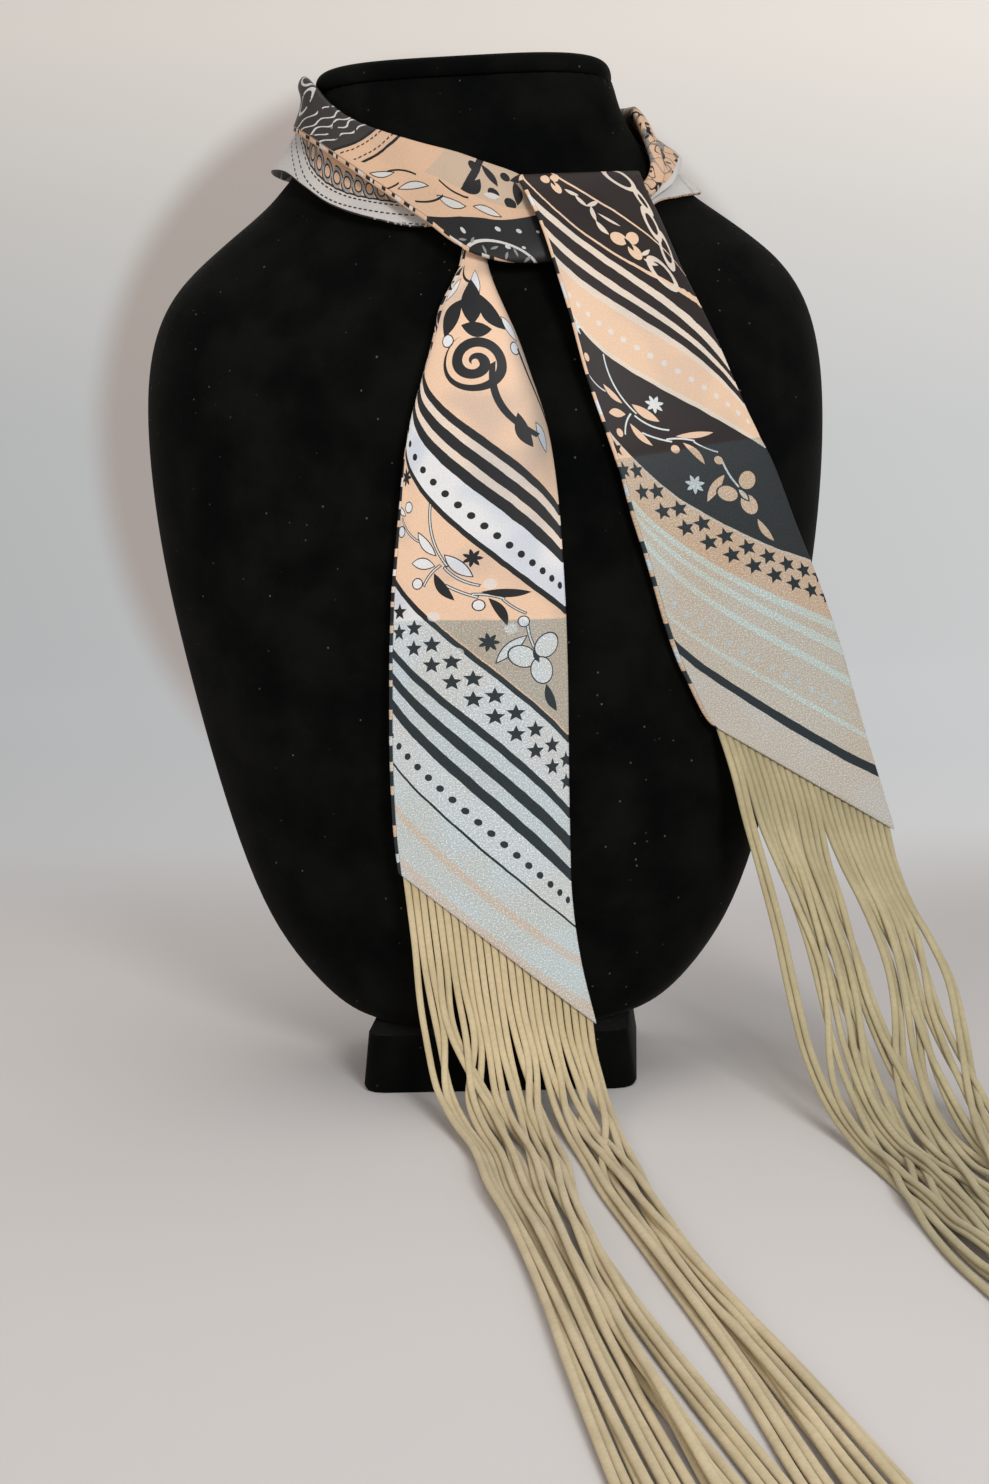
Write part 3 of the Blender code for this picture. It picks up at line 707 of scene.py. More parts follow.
def lay_cords(name, blank, lines, order):
    """Copies of the straight cord along the lines. Those later in the order lie over those before."""
    along = np.gradient(lines, axis=1)
    along /= np.linalg.norm(along, axis=2)[..., None]
    lean = np.array([0.0, -0.7, 0.7])
    side = np.cross(along, lean)
    side /= np.linalg.norm(side, axis=2)[..., None]
    out = np.cross(side, along)
    lift = np.zeros(lines.shape[:2])
    for place, number in enumerate(order):
        for other in order[:place]:
            gap = np.linalg.norm(lines[number][:, None] - lines[other][None, ::2], axis=2)
            near = gap.argmin(axis=1)
            offset = lines[number] - lines[other][::2][near]
            sideways = np.abs((offset * side[number]).sum(1))
            close = np.clip(1.25 - np.hypot(sideways, 0.35 * gap.min(axis=1)) / CORD_WIDTH, 0, 0.35) / 0.35
            lift[number] = np.maximum(lift[number], close * (lift[other][::2][near] + CORD_THICKNESS))
    for _ in range(6):
        lift[:, 1:-1] = (lift[:, :-2] + 2 * lift[:, 1:-1] + lift[:, 2:]) / 4
    lift *= np.clip(np.arange(lines.shape[1]) / 4.0, 0, 1)
    made = []
    for number in range(CORDS):
        mesh = blank.data.copy()
        strand = bpy.data.objects.new(f"{name}_{number}", mesh)
        bpy.context.scene.collection.objects.link(strand)
        for vertex in mesh.vertices:
            step = round(vertex.co.y * CORD_STEPS)
            centre = lines[number, step] + out[number, step] * lift[number, step]
            vertex.co = centre + side[number, step] * vertex.co.x + out[number, step] * vertex.co.z
        made.append(strand)
    bpy.ops.object.select_all(action="DESELECT")
    for strand in made:
        strand.select_set(True)
    bpy.context.view_layer.objects.active = made[0]
    bpy.ops.object.join()
    fringe = bpy.context.object
    fringe.name = fringe.data.name = name
    reshape(fringe, FACE_OUT)
    bpy.ops.object.shade_smooth_by_angle(angle=math.radians(50))
    print(name, len(fringe.data.polygons), "faces, stacked up to", round(1000 * lift.max(), 1), "mm")
    return fringe


def drift(groups, seed):
    """Each cord's place between the outer ones along the fringe. groups has rows of a share of the length and
    of (first cord, last cord, from, to) for the bunches there. Each cord wanders steadily to one side in
    either half, so that it crosses its neighbours in long diagonals."""
    rng = random.Random(seed)
    wander = [(rng.uniform(-8, 8), rng.uniform(-18, 18)) for _ in range(CORDS)]
    keys = []
    for share, bunches in groups:
        places = [0.0] * CORDS
        early, late = min(share, 0.6), max(share - 0.5, 0)
        for first, last, low, high in bunches:
            order = list(range(first, last + 1))
            if share > 0.3:
                order.sort(key=lambda k: k + wander[k][0] * early + wander[k][1] * late)
            for rank, number in enumerate(order):
                stray = rng.uniform(-1, 1) * 0.006 * min(1, share * 3)
                places[number] = low + (high - low) * (rank + 0.5) / len(order) + stray
        keys.append((share, places))

    def place(number, share):
        index = max(k for k, key in enumerate(keys[:-1]) if key[0] <= share)
        part = (share - keys[index][0]) / (keys[index + 1][0] - keys[index][0])
        return between([(key[1][number],) for key in keys], index + part)[0]

    return place


EVEN = (0, 23, 0.0, 1.0)
LEFT_GROUPS = [
    (0.0, [EVEN]),
    (0.10, [EVEN]),
    (0.22,
     [(0, 0, -0.01, 0.02), (1, 4, 0.06, 0.20), (5, 11, 0.22, 0.50), (12, 18, 0.52, 0.80),
      (19, 23, 0.82, 1.0)]),
    (0.36,
     [(0, 2, -0.02, 0.10), (3, 9, 0.14, 0.40), (10, 14, 0.43, 0.60), (15, 20, 0.66, 0.88),
      (21, 23, 0.90, 1.0)]),
    (0.54, [(0, 6, 0.0, 0.27), (7, 14, 0.27, 0.57), (15, 23, 0.66, 1.0)]),
    (0.76, [(0, 7, 0.0, 0.28), (8, 14, 0.24, 0.50), (15, 23, 0.71, 1.0)]),
    (1.0, [(0, 14, 0.0, 0.64), (15, 23, 0.58, 1.0)]),
]
RIGHT_GROUPS = [
    (0.0, [EVEN]),
    (0.08, [EVEN]),
    (0.20,
     [(0, 1, 0.0, 0.06), (2, 7, 0.11, 0.32), (8, 12, 0.30, 0.50), (13, 21, 0.58, 0.92),
      (22, 23, 0.95, 1.0)]),
    (0.36,
     [(0, 1, 0.0, 0.06), (2, 7, 0.18, 0.36), (8, 12, 0.34, 0.50), (13, 17, 0.60, 0.74),
      (18, 21, 0.72, 0.88), (22, 23, 0.93, 1.0)]),
    (0.55, [(0, 2, 0.0, 0.10), (3, 9, 0.16, 0.42), (10, 16, 0.44, 0.68), (17, 23, 0.74, 1.0)]),
    (0.78, [(0, 5, 0.0, 0.22), (6, 14, 0.24, 0.60), (15, 23, 0.60, 1.0)]),
    (1.0, [(0, 11, 0.0, 0.5), (12, 23, 0.5, 1.0)]),
]
blank = straight_cord()


def fringe(name, rows, tail_rows, places, seed):
    order = random.Random(seed).sample(range(CORDS), CORDS)
    return lay_cords(name, blank, cord_lines(rows, tail_rows, places), order)


fringe_left = fringe("fringe_cords_left", FRINGE_LEFT, TAIL_LEFT, drift(LEFT_GROUPS, 4), 8)
fringe_right = fringe("fringe_cords_right", FRINGE_RIGHT, TAIL_RIGHT, drift(RIGHT_GROUPS, 5), 9)
bpy.data.objects.remove(blank, do_unlink=True)

# %% [markdown]
# ## Suede cord
# The cords are flat strips of microfibre suede: quite matt, khaki beige, with a short nap that is
# mottled at a millimetre and finely grained. The right fringe hangs turned away from the light, so its
# tones are painted darker and greener than the left one's, as painted shade.

# %% Suede finish
def suede(name, tones):
    """Matt napped suede, mottled between two tones, with a darker third one in the nap."""
    made, shader, thread = new_finish(name)
    spot = thread.node("TexCoord", output=3)
    nap, patch = spot.noise(900.0, Detail=4.0), spot.noise(60.0, Detail=3.0)
    dark, light, worn = (dye(*tone) for tone in tones)
    tone = thread.paint(nap.fade(0.35, 0.7) * 0.22, thread.paint(patch.fade(0.3, 0.7), dark, light), worn)
    join(shader, Base_Color=tone, Roughness=0.9, Specular_IOR_Level=0.2)
    join(shader, Sheen_Weight=0.15, Sheen_Roughness=0.5)
    join(shader, Normal=thread.node("Bump", {}, {"Strength": 0.25, "Distance": 0.0002, "Height": nap}))
    return made


for cords, name, tones in (
    (fringe_left, "suede_cord_left", ((192, 175, 138), (208, 190, 153), (164, 146, 110))),
    # painted shade: the right fringe's darker, greener tones
    (fringe_right, "suede_cord_right", ((168, 155, 121), (184, 171, 135), (142, 131, 99))),
):
    cords.data.materials.append(suede(name, tones))

# %% Dyes
INK, BROWN, CHARCOAL = dye(36, 35, 36), dye(46, 38, 36), dye(62, 59, 57)
CREAM, PEACH, WHITE = dye(226, 208, 190), dye(232, 196, 166), dye(224, 223, 222)
GREY, BLUE, ROSE, MINT = dye(214, 216, 216), dye(218, 220, 218), dye(227, 212, 199), dye(226, 229, 219)
PRINT_LENGTH = 260.0


def bands(place, *rows):
    """Hard-edged bands of colour, from rows of where each starts and its colour."""
    stops = [(start / PRINT_LENGTH, colour) for start, colour in rows]
    ramp = place.node("ValToRGB", {"stops": stops}, {0: place / PRINT_LENGTH})
    ramp.socket.node.color_ramp.interpolation = "CONSTANT"
    return ramp


def coats(dyes, *layers):
    """The dyes, covered by one colour after the other where each one's mask is 1."""
    for mask, colour in layers:
        dyes = dyes.paint(mask, dyes, colour)
    return dyes


# %% [markdown]
# ## Motifs
# Each motif is a field: how deep a place lies inside it, in millimetres, and negative outside. The
# largest of several fields is their union, a field near nought is an outline, so one sprig serves
# white with thin outlines on the one end of the scarf and plain on dark ground on the other.


# %% Leaf, oval, burst and stroke
def local(flat, x, y, length, width, turn=0.0):
    """The cloth seen from a motif: its centre at nought, turned, and its half size as one."""
    place, turned, half = (x, y, 0.0), (0.0, 0.0, math.radians(turn)), (length / 2, width / 2, 1.0)
    sockets = {"Vector": flat, "Location": place, "Rotation": turned, "Scale": half}
    return flat.node("Mapping", {"vector_type": "TEXTURE"}, sockets)


def leaf(flat, x, y, length, width, turn, bend=0.0):
    here = local(flat, x, y, length, width, turn)
    bow, side = here.part(0) * here.part(0), here.part(1)
    if bend:
        side = side + (bow * bend - bend / 2)
    return (1 - bow - abs(side)) * (width / 2)


def oval(flat, x, y, length, width, turn=0.0):
    return (1 - local(flat, x, y, length, width, turn).reach()) * (min(length, width) / 2)


def burst(flat, x, y, radius, points):
    """A star with many points."""
    here = local(flat, x, y, 2.0, 2.0)
    wedge = here.part(1).math("ARCTAN2", here.part(0)) * (points / math.tau)
    fold = abs(wedge.math("FRACT") - 0.5) * 2
    return radius * 0.46 + fold * (radius * 0.54) - here.reach()


def stroke(flat, x, y, length, turn, sag, half=0.4):
    """A curved line of even width with tapered ends. sag is how far it bows, in mm."""
    here = local(flat, x, y, length, 2.0, turn)
    bow = here.part(0) * here.part(0)
    return (half - abs(here.part(1) + (bow * sag - sag / 2))).least((1 - bow) * 3.0)


def union(fields):
    total, *others = fields
    for field in others:
        total = total.most(field)
    return total


def laid(motif, flat, *rows):
    """The union of one motif laid in several places, each a row of the motif's own numbers."""
    return union([motif(flat, *row) for row in rows])


def curls(flat, scale, width):
    """Curly lines: where a smooth noise crosses its middle value."""
    return width - abs(flat.noise(scale, Detail=0.0, Distortion=0.6) - 0.5)


def dashes(along, pitch):
    return (along / pitch).math("FRACT") < 0.62


# %% Rows of dots and stars along a band
def crossing(bands, place):
    """The curve of the band that crosses the middle line at this place, from the tail's table of bands."""
    index = min(max(sum(row[0] <= place for row in bands) - 1, 0), len(bands) - 2)
    (start, *first), (end, *second) = bands[index], bands[index + 1]
    share = (place - start) / (end - start)
    low, high = (a + share * (b - a) for a, b in zip(first, second))
    return place, (high - low) / 50, (high + low - 2 * place) / 1250


def cell(across, along, curve, first, pitch):
    """The nearest motif of a row along a band, as across and down from its middle."""
    place, slope, bend = curve
    middle = ((across - first) / pitch).math("ROUND") * pitch + (first - CLOTH_WIDTH / 2)
    return across - CLOTH_WIDTH / 2 - middle, along - (middle * middle * bend + middle * slope + place)


def dot_row(across, along, curve, first, pitch, radius=1.0):
    x, y = cell(across, along, curve, first, pitch)
    return radius - (x * x + y * y).math("SQRT")


def star_row(across, along, curve, first, pitch, radius):
    """A row of five-pointed stars with one tip up."""
    x, y = cell(across, along, curve, first, pitch)
    away, wedge = (x * x + y * y).math("SQRT"), math.tau / 5
    turn = abs((x.math("ARCTAN2", y * -1) + wedge / 2).math("FLOORED_MODULO", wedge) - wedge / 2)
    inner = 0.44 * radius
    edge = Vector((inner * math.sin(wedge / 2), radius - inner * math.cos(wedge / 2))).normalized()
    return radius * edge.x - away * (turn.math("COSINE") * edge.x + turn.math("SINE") * edge.y)


# %% The sprig
def sprig(flat):
    """A sprig with leaves, berries, small stars and a three-petalled flower, as its light leaves, dark
    leaves, stems, stars and petals."""
    berries = (5.3, 78.5), (2.4, 85.4), (9.2, 100.4), (25.2, 106.8), (36.4, 111.6)
    light = laid(
        leaf, flat, (11.6, 89.2, 8.6, 2.6, 52, 0.3), (10.7, 94.8, 7.0, 3.2, 8, -0.2),
        (20.2, 95.6, 9.6, 3.3, 42, 0.15),
        (33.0, 119.3, 11.0, 3.0, -44, -0.3), (1.8, 79.6, 5.0, 1.8, 30),
    ).most(laid(oval, flat, *((x, y, 3.1, 3.1) for x, y in berries)))
    dark = laid(
        leaf, flat, (16.4, 101.6, 9.6, 2.7, 56, 0.5), (32.2, 103.3, 13.0, 2.4, 1, 0.25),
        (30.2, 108.6, 9.2, 2.6, 60, -0.6), (43.9, 133.4, 8.6, 2.9, 66, 0.4),
    )
    stems = laid(
        stroke, flat, (14.4, 86.8, 19.0, 76, 2.0, 0.46), (13.2, 98.0, 7.6, 128, 0.6, 0.46),
        (20.8, 98.9, 10.6, 31, 1.0, 0.46), (21.0, 102.9, 9.0, 24, 0.3, 0.46),
        (27.6, 104.2, 8.4, 10, -0.5, 0.46),
        (34.0, 107.4, 7.4, 34, 0.4, 0.42), (38.3, 116.0, 9.0, 74, 0.6, 0.5),
        (5.6, 85.2, 10.0, 44, 0.8, 0.42),
    )
    stars = laid(burst, flat, (23.7, 93.4, 2.7, 7), (3.6, 70.0, 2.7, 7), (27.6, 117.4, 2.8, 7))
    petals = (35.9, 121.4, 7.2, 5.6, 20), (43.0, 118.4, 7.8, 5.8, -35), (41.3, 125.4, 6.2, 7.2, -15)
    return light, dark, stems, stars, [oval(flat, *petal) for petal in petals]


# %% [markdown]
# ## Printed satin
# The dye is drawn in layers from the ground up. Satin's floats are long smooth threads, so it is glossier
# than a plain weave: the gloss is even but grained at a third of a millimetre. Below each soft cross crease,
# where the cloth tilts to the light, a cool silvery sheen is painted into the dyes and pales them. Soft
# clouds of painted sheen grey the dyes above it, and the grain's sparkle is a painted glint in the colour.


# %% Satin
def satin(name, draw, sheen_from=1000.0, below=(1.0, 1.0, 1.0), overall=(1.0, 1.0, 1.0), sheen_clouds=0.75):
    """A printed satin. draw(flat, across, along, place) gives the dyes. Below sheen_from mm they are
    multiplied by this colour and lifted by a cool sheen, both painted sheen. Above it soft clouds of
    painted sheen grey them by the last argument's share, the overall colour multiplies them all evenly, and
    the grain's sparkle in the colour is a painted glint."""
    made, shader, thread = new_finish(name)
    cloth = thread.node("Attribute", {"attribute_name": "cloth"}, output=1)
    across, along, place = (cloth.part(k) for k in range(3))
    across = across.least(2 * CLOTH_WIDTH - across)
    flat = thread.node("CombineXYZ", {}, {0: across, 1: along})
    dyes = draw(flat, across, along, place + (flat.noise(0.16, Detail=2.0) - 0.5) * 0.9)
    grain = flat.noise(2.4, Detail=1.0, Roughness=0.8)
    # painted sheen: soft clouds that grey the dyes above the crease and warm them below it
    sheen_cloud = flat.noise(0.045, Detail=1.0)
    # where the painted cool sheen lies: below the crease
    cool = along.fade(sheen_from - 0.3, sheen_from + 0.5)
    dyes = thread.tint(1.0, dyes, (*overall, 1))
    dyes = thread.tint(sheen_cloud.fade(0.46, 0.62) * (1 - cool) * sheen_clouds, dyes, (0.80, 0.85, 0.92, 1))
    dyes = thread.tint(cool, dyes, (*below, 1))
    dyes = thread.tint(sheen_cloud.fade(0.40, 0.62) * cool * 0.6, dyes, (1.0, 0.91, 0.82, 1))
    # painted sheen: a cool lift of the colour below the crease
    lift = thread.node("VectorMath", {"operation": "SCALE"}, {0: (0.007, 0.015, 0.018), 3: cool})
    dyes = thread.node("VectorMath", {"operation": "ADD"}, {0: dyes, 1: lift})
    # painted glint: the grain sparkles in the colour, most of all in the painted sheen
    painted_glint = 0.94 - cool * 0.10 + grain.fade(0.42, 0.74) * (cool * 0.52 + 0.14)
    dyes = thread.node("VectorMath", {"operation": "SCALE"}, {0: dyes, 3: painted_glint})
    floats = {"Vector": flat, "Scale": 1.6, "Distortion": 1.5, "Detail": 1.0, "Detail Scale": 2.0}
    relief = grain + thread.node("TexWave", {"bands_direction": "X"}, floats) * 0.25
    join(shader, Base_Color=dyes, Roughness=grain * 0.20 + 0.38, Specular_IOR_Level=0.22)
    join(shader, Normal=thread.node("Bump", {}, {"Strength": 0.35, "Distance": 0.00008, "Height": relief}))
    return made


# %% Under the knot and along the edge
def scroll(flat, dyes):
    """A scroll with leaves and berries, under the knot."""
    here = local(flat, 25.0, 37.5, 2.0, 2.0)
    away, gap = here.reach(), 4.6
    arm = away / gap - here.part(1).math("ARCTAN2", here.part(0)) / math.tau
    coil = (0.31 - abs(arm.math("FRACT") - 0.5)) * gap
    coil = coil.least(8.6 - away).least(away - 0.9)
    stalks = laid(stroke, flat, (33.5, 50.0, 25.0, 60, 5.0, 1.0), (44.0, 46.0, 26.0, 64, 1.4, 0.5),
                  (20.0, 10.0, 9.0, 40, 1.0, 0.5))
    dark = laid(
        leaf, flat, (37.0, 58.0, 11.0, 4.2, 66, 0.5), (18.6, 24.0, 13.0, 5.6, 118, 0.3),
        (25.0, 19.0, 15.0, 7.4, 88, -0.2), (26.0, 27.6, 9.0, 4.6, 10, 0.3), (31.6, 23.0, 13.0, 5.6, 60, 0.4),
    )
    light = laid(
        leaf, flat, (27.0, 13.0, 9.0, 4.2, 84, 0.2), (37.4, 28.0, 8.6, 3.4, 60, -0.2),
        (16.5, 15.0, 8.0, 3.0, 118),
        (25.0, 20.0, 10.0, 1.1, 88, -0.2), (31.6, 23.5, 8.0, 0.9, 60, 0.4), (43.5, 60.0, 9.0, 3.0, 66, -0.3),
    ).most(laid(oval, flat, (17.2, 31.0, 3.4, 3.4), (37.5, 34.0, 3.4, 3.4)))
    return coats(dyes, (light > -0.34, INK), (light > 0, WHITE), (union([coil, stalks, dark]) > 0, INK))


def edge_strip(dyes, flat, across, along, pieces, rolled=0.0):
    """The other layer's print, rolled forward in a narrow strip at the left edge and wider under the knot,
    with a line of painted shade along the strip's inner edge.
    """
    step = along / 27.0 + (along / 17.0).math("SINE") * 0.16
    stops = list(zip((0, 0.20, 0.30, 0.46, 0.54, 0.68, 0.76, 0.88, 0.95), pieces))
    strip = step.node("ValToRGB", {"stops": stops}, {0: step.math("FRACT")})
    strip.socket.node.color_ramp.interpolation = "CONSTANT"
    width = 0.95 + (1 - along.fade(10.0, 62.0)) * rolled
    if rolled:
        strip = coats(strip, ((curls(flat, 0.16, 0.06) > 0) * (along < 60.0), CREAM))
    # painted shade: a darker line just past the rolled strip's inner edge, in the groove beside it
    return coats(dyes, ((across < width + 0.22) * 0.55, INK), (across < width, strip))


# %% The left tail's print
def left_print(flat, across, along, place):
    dyes = bands(
        place, (0, PEACH), (57.4, INK), (60.8, CREAM), (63.9, INK), (67.3, CREAM), (70.5, INK),
        (74.2, WHITE), (87.6, INK),
        (89.5, PEACH), (121.3, INK), (123.9, dye(222, 219, 217)), (140.8, INK), (144.2, GREY), (149.2, INK),
        (152.6, GREY), (158.3, INK), (161.6, WHITE), (175.8, INK), (177.7, BLUE),
    )
    soft = place.fade(188.6, 190.0) * (1 - place.fade(191.8, 193.6))
    soft = soft.most(place.fade(202.3, 203.6) * (1 - place.fade(206.5, 209.5)))
    # painted sheen: below the crease the peach band greys to taupe
    crease_sheen = (place > 89.5) * (place < 121.3) * along.fade(LEFT_CREASE - 0.3, LEFT_CREASE + 0.5)
    dyes = coats(
        dyes, (soft * 0.55, PEACH), (crease_sheen * 0.8, dye(182, 172, 158)),
        (dot_row(across, along, crossing(BANDS_LEFT, 83.0), 10.8, 3.14) > 0, INK),
        (dot_row(across, along, crossing(BANDS_LEFT, 169.8), 3.5, 3.0) > 0, INK),
        (star_row(across, along, crossing(BANDS_LEFT, 129.0), 3.4, 5.1, 2.6) > 0, INK),
        (star_row(across, along, crossing(BANDS_LEFT, 134.9), 3.4, 5.1, 2.6) > 0, INK),
    )
    light, dark, stems, stars, petals = sprig(flat)
    spots = (28.0, 100.8), (14.0, 110.0), (33.0, 113.6), (20.0, 120.5)
    spots = laid(oval, flat, *((x, y, 3.4, 3.0) for x, y in spots))
    dyes = coats(
        dyes, ((spots > 0) * 0.6, WHITE), (stems > 0.0, INK), (stems > 0.26, GREY), (light > -0.16, INK),
        (light > 0.16, WHITE), (dark.most(stars) > 0, INK),
    )
    for petal in petals:
        dyes = coats(dyes, (petal > -0.34, INK), (petal > 0, WHITE))
    dyes = coats(dyes, (leaf(flat, 39.6, 121.6, 3.6, 1.4, 60) > 0, INK))
    # painted shade: the upper right of the tail, where it curls away from the light, is darkened
    painted_fold_shade = across.fade(33.0, 45.0) * (1 - along.fade(55.0, 95.0))
    dyes = dyes.tint(painted_fold_shade, scroll(flat, dyes), (0.46, 0.51, 0.56, 1))
    return edge_strip(dyes, flat, across, along, [INK, PEACH, INK, WHITE, INK, CREAM, INK, PEACH, INK], 14.5)


# %% The right tail's print
def right_print(flat, across, along, place):
    dyes = bands(
        place, (0, BROWN), (12.6, PEACH), (13.7, BROWN), (31.1, PEACH), (32.2, BROWN), (35.4, CREAM),
        (38.4, BROWN),
        (43.0, CREAM), (46.0, BROWN), (49.8, CREAM), (53.0, PEACH), (70.2, CREAM), (72.2, BROWN),
        (110.8, CREAM),
        (112.6, PEACH), (128.8, MINT), (131.6, CREAM), (135.0, MINT), (138.0, CREAM), (144.2, MINT),
        (147.2, CREAM),
        (162.4, MINT), (163.7, CREAM), (173.4, INK), (177.6, ROSE),
    )
    dyes = coats(
        dyes,
        (dot_row(across, along, crossing(BANDS_RIGHT, 62.8), 17.9, 3.0, 0.95).fade(-0.1, 0.3) * 0.7, WHITE),
        (dot_row(across, along, crossing(BANDS_RIGHT, 157.3), 14.2, 3.05, 0.95).fade(-0.1, 0.3), BLUE),
        (star_row(across, along, crossing(BANDS_RIGHT, 116.0), 6.5, 4.95, 2.75) > 0, INK),
        (star_row(across, along, crossing(BANDS_RIGHT, 121.8), 6.5, 4.95, 2.75) > 0, INK),
    )
    place, turned, scale = (0.6, 20.6, 0.0), (0.0, 0.0, math.radians(-2.0)), (1.03, 0.97, 1.0)
    sockets = {"Vector": flat, "Location": place, "Rotation": turned, "Scale": scale}
    moved = flat.node("Mapping", {"vector_type": "POINT"}, sockets)
    light, dark, stems, stars, petals = sprig(moved)
    dyes = coats(dyes, (stems > 0.20, BLUE), (light.most(dark) > 0.30, PEACH), (stars > 0, BLUE))
    for petal in petals:
        dyes = coats(dyes, (petal > 0.25, BROWN), (petal > 0.60, PEACH))
    heart = leaf(moved, 40.4, 122.4, 5.0, 2.4, 60)
    sprays = laid(
        leaf, flat, (18.6, 11.4, 4.4, 1.3, 30, 0.4), (20.4, 14.2, 4.6, 1.3, 60, 0.4),
        (23.6, 15.2, 5.0, 1.3, -20, 0.4),
        (22.4, 18.4, 5.0, 1.4, 95, 0.4), (23.2, 23.0, 5.2, 1.6, 62, 0.4), (26.4, 20.6, 7.0, 0.9, 40, 0.4),
        (34.0, 31.6, 4.4, 1.3, -20, 0.4), (34.6, 34.8, 5.0, 1.4, 30, 0.4),
    )
    flowers = laid(
        oval, flat, (11.2, 6.4, 3.6, 3.0, 20), (14.8, 6.0, 3.4, 3.0, -30), (14.2, 9.6, 3.0, 4.2, -20),
        (27.0, 26.6, 5.0, 4.0, 30), (31.4, 26.8, 4.6, 3.8, -30), (30.6, 31.2, 3.6, 5.2, -25),
    )
    veins = laid(leaf, flat, (13.6, 7.6, 3.4, 1.0, 70), (29.6, 28.6, 4.6, 1.4, 70))
    chain = union([0.55 - abs(oval(flat, *link)) for link in (
        (38.0, 6.4, 11.0, 6.0, 40), (43.0, 14.6, 8.0, 3.0, 75), (41.6, 22.4, 10.0, 4.4, 84),
        (43.4, 31.4, 11.0, 4.6, 98), (37.4, 38.6, 11.0, 5.4, 60),
    )])
    dyes = coats(
        dyes, (heart > -0.05, INK), (heart > 0.45, CREAM), (sprays > 0, CREAM), (flowers > 0, PEACH),
        (veins > 0, INK),
        (chain > 0, CREAM),
    )
    return edge_strip(dyes, flat, across, along, [PEACH, PEACH, INK, PEACH, WHITE, PEACH, INK, PEACH, PEACH])


# %% [markdown]
# ## The collar's prints
# The collar shows stretches of the same scarf further along: charcoal with curly white lines, peach
# crossed by thin black lines, a dark stretch with cream dots near the knot, and on the inner half white
# with curved lines and peach with a chain of loops. Curly lines are the contours of a smooth noise.


# %% The left collar's outer half
def curly(flat, across, along, place):
    """Waves and loops in white lines, as a field."""
    wave = (across / 0.9).math("SINE") * 0.8
    rows = (105.6, 0.7), (102.2, 1.0), (99.6, -1.0), (96.4, 0.9), (92.0, -0.8)
    lines = union([0.34 - abs(place - row + wave * size) for row, size in rows])
    loops = (
        (9.0, 92.0, 9.0, 5.0, 30), (15.5, 88.0, 7.0, 4.4, 100), (6.0, 83.0, 8.0, 4.6, 60),
        (13.0, 79.0, 9.0, 5.0, 10),
        (20.0, 98.0, 6.0, 3.6, 60), (4.0, 74.0, 7.0, 4.6, 100), (18.0, 80.0, 6.0, 4.0, 40),
    )
    return lines.most(union([0.36 - abs(oval(flat, *loop)) for loop in loops]))


def collar_left_print(flat, across, along, place):
    tan = dye(212, 190, 168)
    outer = bands(
        place, (0, CHARCOAL), (109.2, INK), (110.2, PEACH), (117.6, INK), (118.3, PEACH), (130.4, INK),
        (131.0, PEACH),
        (132.4, INK), (133.0, tan), (143.4, INK), (146.8, tan),
    )
    gaps = flat.noise(0.16) > 0.40
    sprays = laid(
        leaf, flat, (20.5, 157.0, 8.0, 2.8, 30, 0.4), (27.0, 162.0, 8.0, 3.0, -40, 0.4),
        (23.0, 170.0, 9.0, 3.0, 10, 0.4),
        (29.0, 172.0, 7.0, 2.6, 60, 0.4),
    )
    berries = (21.0, 162.6), (27.6, 156.6), (28.5, 167.4), (19.0, 167.0)
    berries = laid(oval, flat, *((x, y, 3.4, 3.4) for x, y in berries))
    outer = coats(
        outer, ((curls(flat, 0.13, 0.035) > 0) * (along < 66.0), WHITE),
        ((curly(flat, across, along, place) > 0) * gaps * (place < 108.4), WHITE),
        (dashes(along, 1.5) * (abs(place - 112.2) < 0.26).most(abs(place - 116.2) < 0.26), INK),
        (sprays.most(berries) > 0, INK), (leaf(flat, 20.0, 162.0, 5.0, 1.8, 80) > 0, WHITE),
    )
    crease = 1.2 + along.fade(110.0, 160.0) * 16.5
    beat = flat.node("CombineXYZ", {}, {0: across - crease, 1: along})
    pale = laid(
        leaf, beat, (-2.4, 128.5, 7.0, 1.5, 80, 0.5), (-4.6, 138.5, 8.5, 1.9, 74, -0.5),
        (-5.2, 150.0, 8.0, 2.2, 82, 0.6),
        (-3.0, 160.0, 7.0, 2.0, 92, -0.5), (-5.6, 168.0, 7.0, 2.0, 75, 0.5),
    )
    lines = laid(
        stroke, beat, (-6.2, 130.5, 8.0, 70, 1.0, 0.3), (-0.9, 134.5, 9.0, 88, -0.8, 0.3),
        (-7.2, 144.0, 9.0, 60, 1.2, 0.3),
        (-1.4, 150.5, 9.0, 94, 0.9, 0.3), (-6.4, 159.5, 9.0, 78, -0.8, 0.3),
    )
    lower = coats(outer, (across > 0, PEACH), (pale > -0.3, INK), (pale > 0, WHITE), (lines > 0, INK))
    top = along.fade(138.0, 160.0) * 13.0 + along.fade(156.0, 176.0) * 4.0 - 0.6
    seeds = flat.node("TexVoronoi", {}, {"Vector": flat, "Scale": 0.21, "Randomness": 0.25})
    strokes = ((2.2 + 1.5 * (k % 2), 153.0 + 2.3 * k, 2.6, 0.6, 50 - 30 * (k % 3)) for k in range(7))
    strokes = laid(leaf, flat, *strokes)
    dark = coats(
        outer.paint(seeds < 0.15, INK, dye(214, 222, 222)),
        (abs(oval(flat, -4.0, 161.5, 20.0, 17.0)) < 0.35, WHITE), (strokes > 0, dye(150, 152, 152)),
    )
    trim = (abs(across - top) < 0.35) * (along > 141.0)
    dyes = coats(outer, (across < crease, lower), (across < top, dark), (trim, PEACH))
    pieces = [PEACH, INK, PEACH, INK, WHITE, PEACH, INK, WHITE, INK]
    return edge_strip(dyes, flat, across, along * 1.7, pieces)


